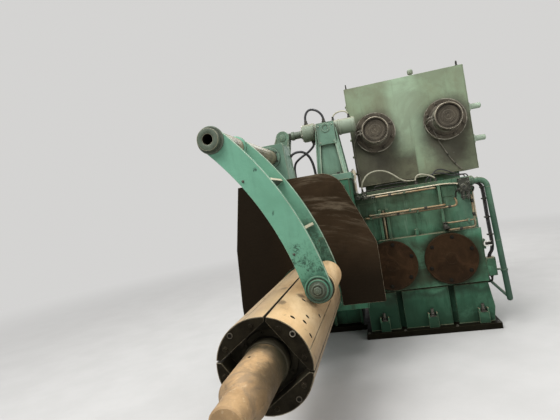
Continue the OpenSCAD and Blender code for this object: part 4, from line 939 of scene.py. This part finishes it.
rear = [(x, UP_BACK + 12, z) for x0 in (-375, 185) for x in (x0, x0 + 205, x0 + 410) for z in (1785, 2415)]
rear += [(x, UP_BACK + 12, z) for x in (-375, 35, 185, 595) for z in (1990, 2210)]
bolts("upper_rear_bolts", rear, REAR, 12, FADED)
boxes("case_rear_plate", CASE, 4, (-420, 428, 1080, 460, 442, 1400))
bolts("case_rear_bolts", [(x, 442, z) for x in (-395, -180, 20, 220, 435) for z in (1105, 1375)], REAR, 12,
    GREEN_BOLT)
with Piece("lifting_pin_collars", PALE_GREEN_AND_HIGHLIGHT) as p:
    for z in (2205, 1873):
        p.lathe((UP_RIGHT, -160, z), RIGHT, (49.5, -1, 59, -1, 57.5, 5, 49.5, 11))
        p.lathe((UP_RIGHT + 26, -160, z), RIGHT, (50, -4, 50, 1, 47, 4, 34, 5, 28.8, 11))

# ---- arm drive: pedestal, stands, cylinder, lever
px, pz = PIVOT
PED_FRONT, PED_BACK = -945, -585
with Piece("pedestal_bearings", DRIVE) as p:
    p.lathe((px, PED_FRONT, pz), FRONT, (70.5, -1, 70.5, 16, 74, 19, 98, 19, 101, 16, 101, -1), 64)
    p.lathe((px, PED_BACK, pz), REAR, (70.5, -1, 70.5, 10, 74, 13, 98, 13, 101, 10, 101, -1), 64)
bolts("pedestal_bearing_bolts", ring(PIVOT, 86, 30, 6, PED_FRONT - 19), FRONT, 7, DARK, washer=False)
boxes("pedestal_top", DRIVE, 3, (px - 140, PED_FRONT + 2, 2078, px + 140, PED_BACK - 2, 2092))
boxes("pedestal_feet", DRIVE, 3, *[(px + x, PED_FRONT - 1, DRIVE_TOP, px + x + 28, PED_BACK + 1,
    DRIVE_TOP + 22) for x in (-178, 150)])
feet = [(px + x, y, DRIVE_TOP + 22) for x in (-166, 166) for y in (-900, -765, -630)]
bolts("pedestal_foot_bolts", feet, UP, 9.5, DARK)
# Pale beads along the pedestal edges: painted highlight.
beads = [line(px + s * 155.5, y, DRIVE_TOP + 20, px + s * 139.2, y, 2098) for y in (PED_FRONT + 20,
    PED_BACK - 20) for s in (-1, 1)]
tubes("pedestal_edge_welds", beads, 5, PALE_GREEN_AND_HIGHLIGHT, segments=8, lumps=0.15)
STAND_X, TAPER = -725.9, 60 / (2275.4 - DRIVE_TOP)
for name, y, sign in (("front", -594, -1), ("back", -346, 1)):
    with Piece("stand_head_" + name, DRIVE) as p:
        p.box((STAND_X - 91, y, 2048, STAND_X + 91, y + sign * 12, 2262), 3)
        p.lathe((STAND_X, y + sign * 12, CYL_Z), (0, sign, 0), (30.5, -2, 30.5, 6, 44, 6, 47, 3, 47, -2), 40)
        for s in (-1, 1):
            p.tube(line(STAND_X + s * 149, y + sign * 6, DRIVE_TOP, STAND_X + s * 100, y + sign * 6, 2200), 7, 8,
                0.1)
        p.box((STAND_X - 150, y, DRIVE_TOP, STAND_X + 150, y + sign * 16, DRIVE_TOP + 20), 3)
    places = [(STAND_X + x, y + sign * 12, z) for x in (-70, 70) for z in (2070, 2240)]
    bolts("stand_bolts_" + name, places, (0, sign, 0), 7, DRIVE)
    low, high = 115 - TAPER * 20, 115 - TAPER * (2046 - DRIVE_TOP)
    # Pale beads along the stand edges: painted highlight.
    edges = [line(STAND_X + s * low, y, DRIVE_TOP + 24, STAND_X + s * high, y, 2046) for s in (-1, 1)]
    tubes("stand_edges_" + name, edges, 5.5, PALE_GREEN_AND_HIGHLIGHT, segments=8, lumps=0.2)
with Piece("cylinder_rings", CYLINDER) as p:
    for x, axis, profile in ((HEAD_X, LEFT, (91, -4, 89, 3, 70, 6, 64, 16, 48, 18, 46, 30, 39, 31)), (HEAD_X + 20,
            RIGHT, (90.8, 0, 92.5, 2, 92.5, 16, 90.8, 18)), (HEAD_X + 94, RIGHT, (90.8, 0, 93.5, 2, 93.5, 20, 90,
            26, 78, 28.5)), (-600, RIGHT, (77.8, 0, 83, 3, 83, 19, 77.8, 22)), (-460, RIGHT, (77.8, 0, 83, 3, 83,
            19, 77.8, 22))):
        p.lathe((x, CYL_Y, CYL_Z), axis, profile, 64)
lathe("cylinder_tail_cap", (TUBE_END - 1, CYL_Y, CYL_Z), RIGHT, (0, 0, 74, 0, 70, 6, 50, 7, 46, 3, 0, 3), CYLINDER)
bolts("cylinder_head_bolts", [(x, y, z) for y, x, z in ring((CYL_Y, CYL_Z), 78, 22.5, 8, HEAD_X - 6)], LEFT, 8,
    STEEL, washer=False)
cx, cz = -1189.93, 2209.75
with Piece("lever_collars", DRIVE, "press_arm") as p:
    for y, axis in ((-535, FRONT), (-405, REAR)):
        p.lathe((cx, y, cz), axis, (0, -2, 36, -2, 36, 6, 33, 8, 16, 8, 14, 14, 0, 14), 40)
        p.lathe((px, y, pz), axis, (70.5, -1, 70.5, 8, 74, 10, 90, 10, 93, 7, 93, -1))
along = Vector((cx - px, 0, cz - pz)).normalized()
side = Vector((along.z, 0, -along.x))
beads = [line(*(Vector((px, y, pz)) + along * 100 + side * s * 80), *(Vector((cx, y,
    cz)) - along * 10 + side * s * 62)) for y in (-536, -404) for s in (-1, 1)]
tubes("lever_edge_beads", beads, 4.5, CYLINDER, "press_arm", 8, 0.1)
lathe("swing_shaft_nut", (px, -404, pz), REAR, (69, -1, 88, -1, 88, 6, 84, 9, 69, 9), DARK, "press_arm")
lathe("rod_gland_collar", (-1100, CYL_Y, CYL_Z), RIGHT, (37.5, 0, 46, 2, 46, 30, 37.5, 34), RING, "rod")

# ---- arm and roll
rx, rz = ROLL
ARM_REAR = ARM_BACK + ARM_T
with Piece("shaft_nose_ring", RING, "press_arm") as p:
    p.lathe((px, ARM_FRONT, pz), FRONT, (70.4, 0, 70.6, 44, 69, 49.2, 65, 51.2, 48, 52.5, 38, 51.5, 34.5, 49, 34.3,
        44), 96)
    p.lathe((px, ARM_FRONT, pz), FRONT, (71.5, -1, 88, -1, 88, 5, 83, 10, 71.5, 11), 96)
# A near-black liner in the swing shaft bore: painted shade.
lathe("shaft_nose_bore", (px, ARM_FRONT, pz), FRONT, (0, -100, 33.9, -100, 33.9, 47.8, 33.4, 47.8, 33.4, -94, 0,
    -94), NEAR_BLACK_AND_SHADE, "press_arm")
with Piece("arm_hub_welds", ARM, "press_arm") as p:
    for y, axis in ((ARM_FRONT + ARM_T, REAR), (ARM_BACK, FRONT), (ARM_REAR, REAR)):
        p.lathe((px, y, pz), axis, (70.2, -1, 84, -1, 83, 6, 70.2, 16), 64)
lathe("lower_boss_ring", (rx, ARM_FRONT, rz), FRONT, (83.8, -6, 83.8, 3, 81.5, 7.5, 77.5, 8.5, 73.5, 7.5, 71.5, 3.5,
    65, 3, 63.2, 11, 60.5, 15.5, 56.5, 16.5, 53.5, 15, 52, 6, 47, 5.5, 45.5, 13, 43, 14, 42.5, 12), BOSS,
    "press_arm", 96)
with Piece("lower_boss_steps", RING, "press_arm") as p:
    p.lathe((rx, ARM_FRONT - 14, rz), FRONT, (42.4, -4, 42.4, 1.2, 40.5, 3.4, 39.2, 3.4, 38.2, 1), 80)
    p.lathe((rx, ARM_FRONT - 28, rz), FRONT, (38.5, -12, 38.5, 1, 36, 3, 31, 3, 29, -1, 20.5, -1), 64)
with Piece("lower_boss_nut", RING, "press_arm") as p:
    p.lathe((rx, ARM_FRONT - 29.5, rz), FRONT, (0, 0, 25.5, 0, 25.5, 11, 22, 14, 0, 14), 6, 0.3)
    p.lathe((rx, ARM_FRONT - 40, rz), FRONT, (0, 0, 12, 0, 12, 8, 10, 10, 0, 10), 20)
with Piece("rear_boss_nut", RING, "press_arm") as p:
    p.lathe((rx, ARM_REAR + 14, rz), REAR, (0, 0, 40, 0, 40, 10, 36, 13, 0, 13))
    p.lathe((rx, ARM_REAR + 26, rz), REAR, (0, 0, 24, 0, 24, 12, 0, 14), 6)
with Piece("press_roll_ends", NOSE, "press_roll") as p:
    for y, axis in ((-2429.5, FRONT), (-1994.5, REAR)):
        p.lathe((rx, y, rz), axis, (94, -2, 92, 3.5, 78, 3.5, 76, 0, 58, 0, 56, 4, 43, 4, 42, -1), 80)
with Piece("arm_nipples", DARK, "press_arm") as p:
    for at in at_y(ARM_FRONT, -1098, 1690, -856, 1205):
        p.lathe(at, FRONT, (0, -1, 9, -1, 9, 2, 6, 3, 3.6, 8, 0, 9), 6)


def bowed(offset, share, y):
    """A point on a line that runs along the bowed arm, offset from its middle line."""
    p, q = Vector(PIVOT), Vector(ROLL)
    chord = (q - p).length
    u = (q - p) / chord
    n = Vector((-u.y, u.x))
    bow = 81
    radius = (chord * chord / 4 + bow * bow) / (2 * bow)
    a = math.atan2(n.y, n.x) - share * 2 * math.asin(chord / 2 / radius)
    at = (p + q) / 2 - n * (radius - bow) + Vector((math.cos(a), math.sin(a))) * (radius + offset)
    return (at.x, y, at.y)


# The right rims are in the pale highlight green, the left ones in the plain arm green: painted highlight on the
# right edges.
for name, offset, mat in (("arm_rims_right", 79.8, PALE_GREEN_AND_HIGHLIGHT), ("arm_rims_left", -79.8, ARM)):
    runs = [[bowed(offset, -0.5 + k / 60, y) for k in range(61)] for y in (ARM_FRONT + 2.6, ARM_BACK + 2.6)]
    tubes(name, runs, 3, mat, "press_arm", 8, 0.12)
welds = [[bowed(-60 + 15 * k, share + s * 0.0085, y) for k in range(9)] for share in (-0.14,
    0.183) for y in (ARM_FRONT + ARM_T + 1, ARM_BACK - 1) for s in (-1, 1)]
tubes("cross_plate_welds", welds, 5, ARM, "press_arm", 8, 0.2)

# ---- mandrel
turns = [35 + 90 * k for k in range(4)]
HALF = 43
for k, turn in enumerate(turns):
    outline = [(247.5, turn - HALF + 2 * HALF * i / 28) for i in range(29)]
    outline += [(168 / math.cos(math.radians(HALF)), turn + s * HALF) for s in (1, -1)]
    with Piece("segment_end_plate_%d" % (k + 1), END, "mandrel") as p:
        front, rear = [[p.bm.verts.new(polar(AXIS, r, a, y)) for r, a in outline] for y in (MANDREL_FRONT - 4,
            MANDREL_FRONT + 0.5)]
        p.bm.faces.new(front)
        p.bm.faces.new(rear[::-1])
        for i in range(len(outline)):
            j = (i + 1) % len(outline)
            p.bm.faces.new((front[i], front[j], rear[j], rear[i]))
with Piece("segment_end_bolts", END, "mandrel") as p:
    for turn in turns:
        for off in (-26, 26):
            p.bolt(polar(AXIS, 216, turn + off, MANDREL_FRONT - 3), FRONT, 12, 0.45)
for name, some, mat in (("segment_end_ring", turns[:1], RIM), ("segment_end_rings", turns[1:], SOOTY)):
    with Piece(name, mat, "mandrel") as p:
        for turn in some:
            p.lathe(polar(AXIS, 230, turn + 6.5, MANDREL_FRONT - 4), FRONT, (10.5, 0, 15.5, 0, 15.5, 4, 14.5, 5,
                11.5, 5, 10.5, 3), 32)
bolts("segment_end_plugs", ring(AXIS, 230, turns[0] + 6.5, 4, MANDREL_FRONT - 3), FRONT, 8.5, NEAR_BLACK_AND_SHADE, "mandrel", 0.2,
    False)
with Piece("segment_lips", TAN, "mandrel") as p:
    for turn in turns:
        p.tube([polar(AXIS, 250.5, turn - 43.2 + 86.4 * i / 40, MANDREL_FRONT - 1) for i in range(41)], 2.2, 8)
lathe("core_face", (AXIS_X, -2830, SHAFT_Z), FRONT, (155, -1, 155, 4, 150, 8, 124, 8, 121, 12, 119, 12, 119, -1),
    RECESS_OIL_AND_SHADE, "mandrel", 96)
bolts("core_face_bolts", ring(AXIS, 138, 10, 8, -2838), FRONT, 8.5, RECESS_OIL_AND_SHADE, "mandrel")
lathe("nose_root_ring", (AXIS_X, -2925, SHAFT_Z), FRONT, (118.5, -60, 118.5, 0, 116.5, 4, 110.2, 6), RECESS_OIL_AND_SHADE,
    "mandrel", 96)
lathe("nose_shoulders", (AXIS_X, -3300, SHAFT_Z), FRONT, (110.2, -10, 110.2, -1, 108.5, 1.5), NOSE, "mandrel", 96)
lathe("nose_pit", polar(AXIS, 110.4, 97, -3105), polar((0, 0), 1, 97, 0), (0, 0.6, 6, 0.6, 7.5, -1), NEAR_BLACK_AND_SHADE, "mandrel",
    16)
lathe("nose_end_face", (AXIS_X, -3509.5, SHAFT_Z), FRONT, (60, 0, 58, 0.4, 14, 0.4, 10, -0.2, 0, -0.2), RING,
    "mandrel")
bolts("back_flange_bolts", ring(AXIS, 205, 22.5, 8, -1387), REAR, 12, DARK, "mandrel")

# ---- guard plate and mandrel housing
rings = [circle((AXIS_X + x, y, z), REAR, 46, 32) for x in (-350, 350) for z in (1005, 1545) for y in (-1423, -962)]
tubes("standoff_welds", rings, 4.5, CASE, segments=8, lumps=0.2)
bolts("sleeve_flange_bolts", ring(AXIS, 268, 15, 12, -1010), FRONT, 12, GREEN_BOLT)
left, right, front, top = -1447, -555, -960, 1655
boxes("housing_front_plates", CASE, 3, (left + 30, front - 10, 1060, left + 300, front + 1, 1560), (-860,
    front - 10, 1320, -600, front + 1, 1600))
boxes("housing_side_plates", CASE, 4, *[(left - 12, y0, 560, left + 1, y1, 1520) for y0, y1 in ((-780, -340), (-240,
    300))])
side = []
for y0, y1 in ((-755, -365), (-215, 275)):
    side += [(left - 12, y, z) for y in (y0, (y0 + y1) / 2, y1) for z in (585, 1495)]
    side += [(left - 12, y, z) for z in (810, 1040, 1270) for y in (y0, y1)]
bolts("housing_side_bolts", side, LEFT, 13, GREEN_BOLT)
boxes("housing_rear_plate", CASE, 4, (-1330, 428, 1100, -670, 442, 1560))
rear = [(x, 442, z) for x in (-1305, -1100, -900, -695) for z in (1125, 1535)]
bolts("housing_rear_bolts", rear, REAR, 13, GREEN_BOLT)
places = [(x, y, DRIVE_TOP) for x in (left + 30, AXIS_X, -640) for y in (-930, -200, 395)]
places += [(left + 30, y, DRIVE_TOP) for y in (-560, 100)]
bolts("drive_plate_bolts", places, UP, 15, DARK)
welds = [line(left, front - 1, top, right, front - 1, top), line(left - 1, front, top, left - 1, 430, top),
    line(left, front, 440, left, front, top), line(right, front, 440, right, front, top)]
tubes("housing_welds", welds, 5, CASE, segments=8, lumps=0.2)


# ---- floor and light
def floor():
    bm = bmesh.new()
    bmesh.ops.create_circle(bm, cap_ends=True, radius=70.0, segments=96)
    mesh = bpy.data.meshes.new("studio_floor")
    bm.to_mesh(mesh)
    bm.free()
    obj = bpy.data.objects.new("studio_floor", mesh)
    obj.location.z = -0.001
    scene.collection.objects.link(obj)
    net = Net("studio_floor")
    tone = net.mix(net.cloud(2.2, 5, 0.6, 0.3, 0.7), (470, 465, 455), (440, 435, 425))
    for key, value in (("Base Color", tone), ("Roughness", 0.9), ("Specular IOR Level", 0.1)):
        net.put(net.bsdf.inputs[key], value)
    far = net.node("ShaderNodeEmission", {0: (660, 655, 645), 1: 1.0}).outputs[0]
    reach = net.fade(net.span(net.xyz[0], net.xyz[1]), 3.0, 11.0)
    blend = net.node("ShaderNodeMixShader", {0: reach, 1: net.bsdf.outputs[0], 2: far})
    net.put(net.out.inputs[0], blend.outputs[0])
    mesh.materials.append(net.mat)


def lamp(name, at, aim, size, power):
    data = bpy.data.lights.new(name, "AREA")
    data.shape = "RECTANGLE"
    data.size, data.size_y = size
    data.energy = power
    obj = bpy.data.objects.new(name, data)
    obj.location = at
    obj.rotation_euler = (Vector(aim) - Vector(at)).to_track_quat("-Z", "Y").to_euler()
    scene.collection.objects.link(obj)


def world():
    """Light grey where the camera or a mirror sees it, white for lighting."""
    made = bpy.data.worlds.new("studio")
    scene.world = made
    made.use_nodes = True
    tree = made.node_tree
    tree.nodes.clear()
    out = tree.nodes.new("ShaderNodeOutputWorld")
    seen, light = [tree.nodes.new("ShaderNodeBackground") for _ in range(2)]
    for node, color, power in ((seen, (0.66, 0.655, 0.645, 1), 1.0), (light, (1, 1, 1, 1), 0.42)):
        node.inputs[0].default_value = color
        node.inputs[1].default_value = power
    path = tree.nodes.new("ShaderNodeLightPath").outputs
    most, more = [tree.nodes.new("ShaderNodeMath") for _ in range(2)]
    most.operation = more.operation = "MAXIMUM"
    mix = tree.nodes.new("ShaderNodeMixShader")
    for source, target in ((path["Is Camera Ray"], most.inputs[0]), (path["Is Glossy Ray"], most.inputs[1]),
            (most.outputs[0], more.inputs[0]), (path["Is Transmission Ray"], more.inputs[1]), (more.outputs[0],
            mix.inputs[0]), (light.outputs[0], mix.inputs[1]), (seen.outputs[0], mix.inputs[2]), (mix.outputs[0],
            out.inputs[0])):
        tree.links.new(source, target)


floor()
world()
lamp("key", (-3.2, -6.0, 8.4), (-0.4, -1.0, 1.4), (4.5, 4.5), 760)
lamp("fill", (6.0, -6.0, 3.5), (-0.2, -0.8, 1.2), (4.0, 4.0), 210)
lamp("top", (-0.6, -0.5, 9.0), (-0.5, -0.8, 1.0), (6.0, 6.0), 560)
lamp("rear", (1.0, 7.5, 5.0), (-0.3, 0.0, 1.2), (5.0, 4.0), 280)

scene.view_settings.view_transform = "Standard"
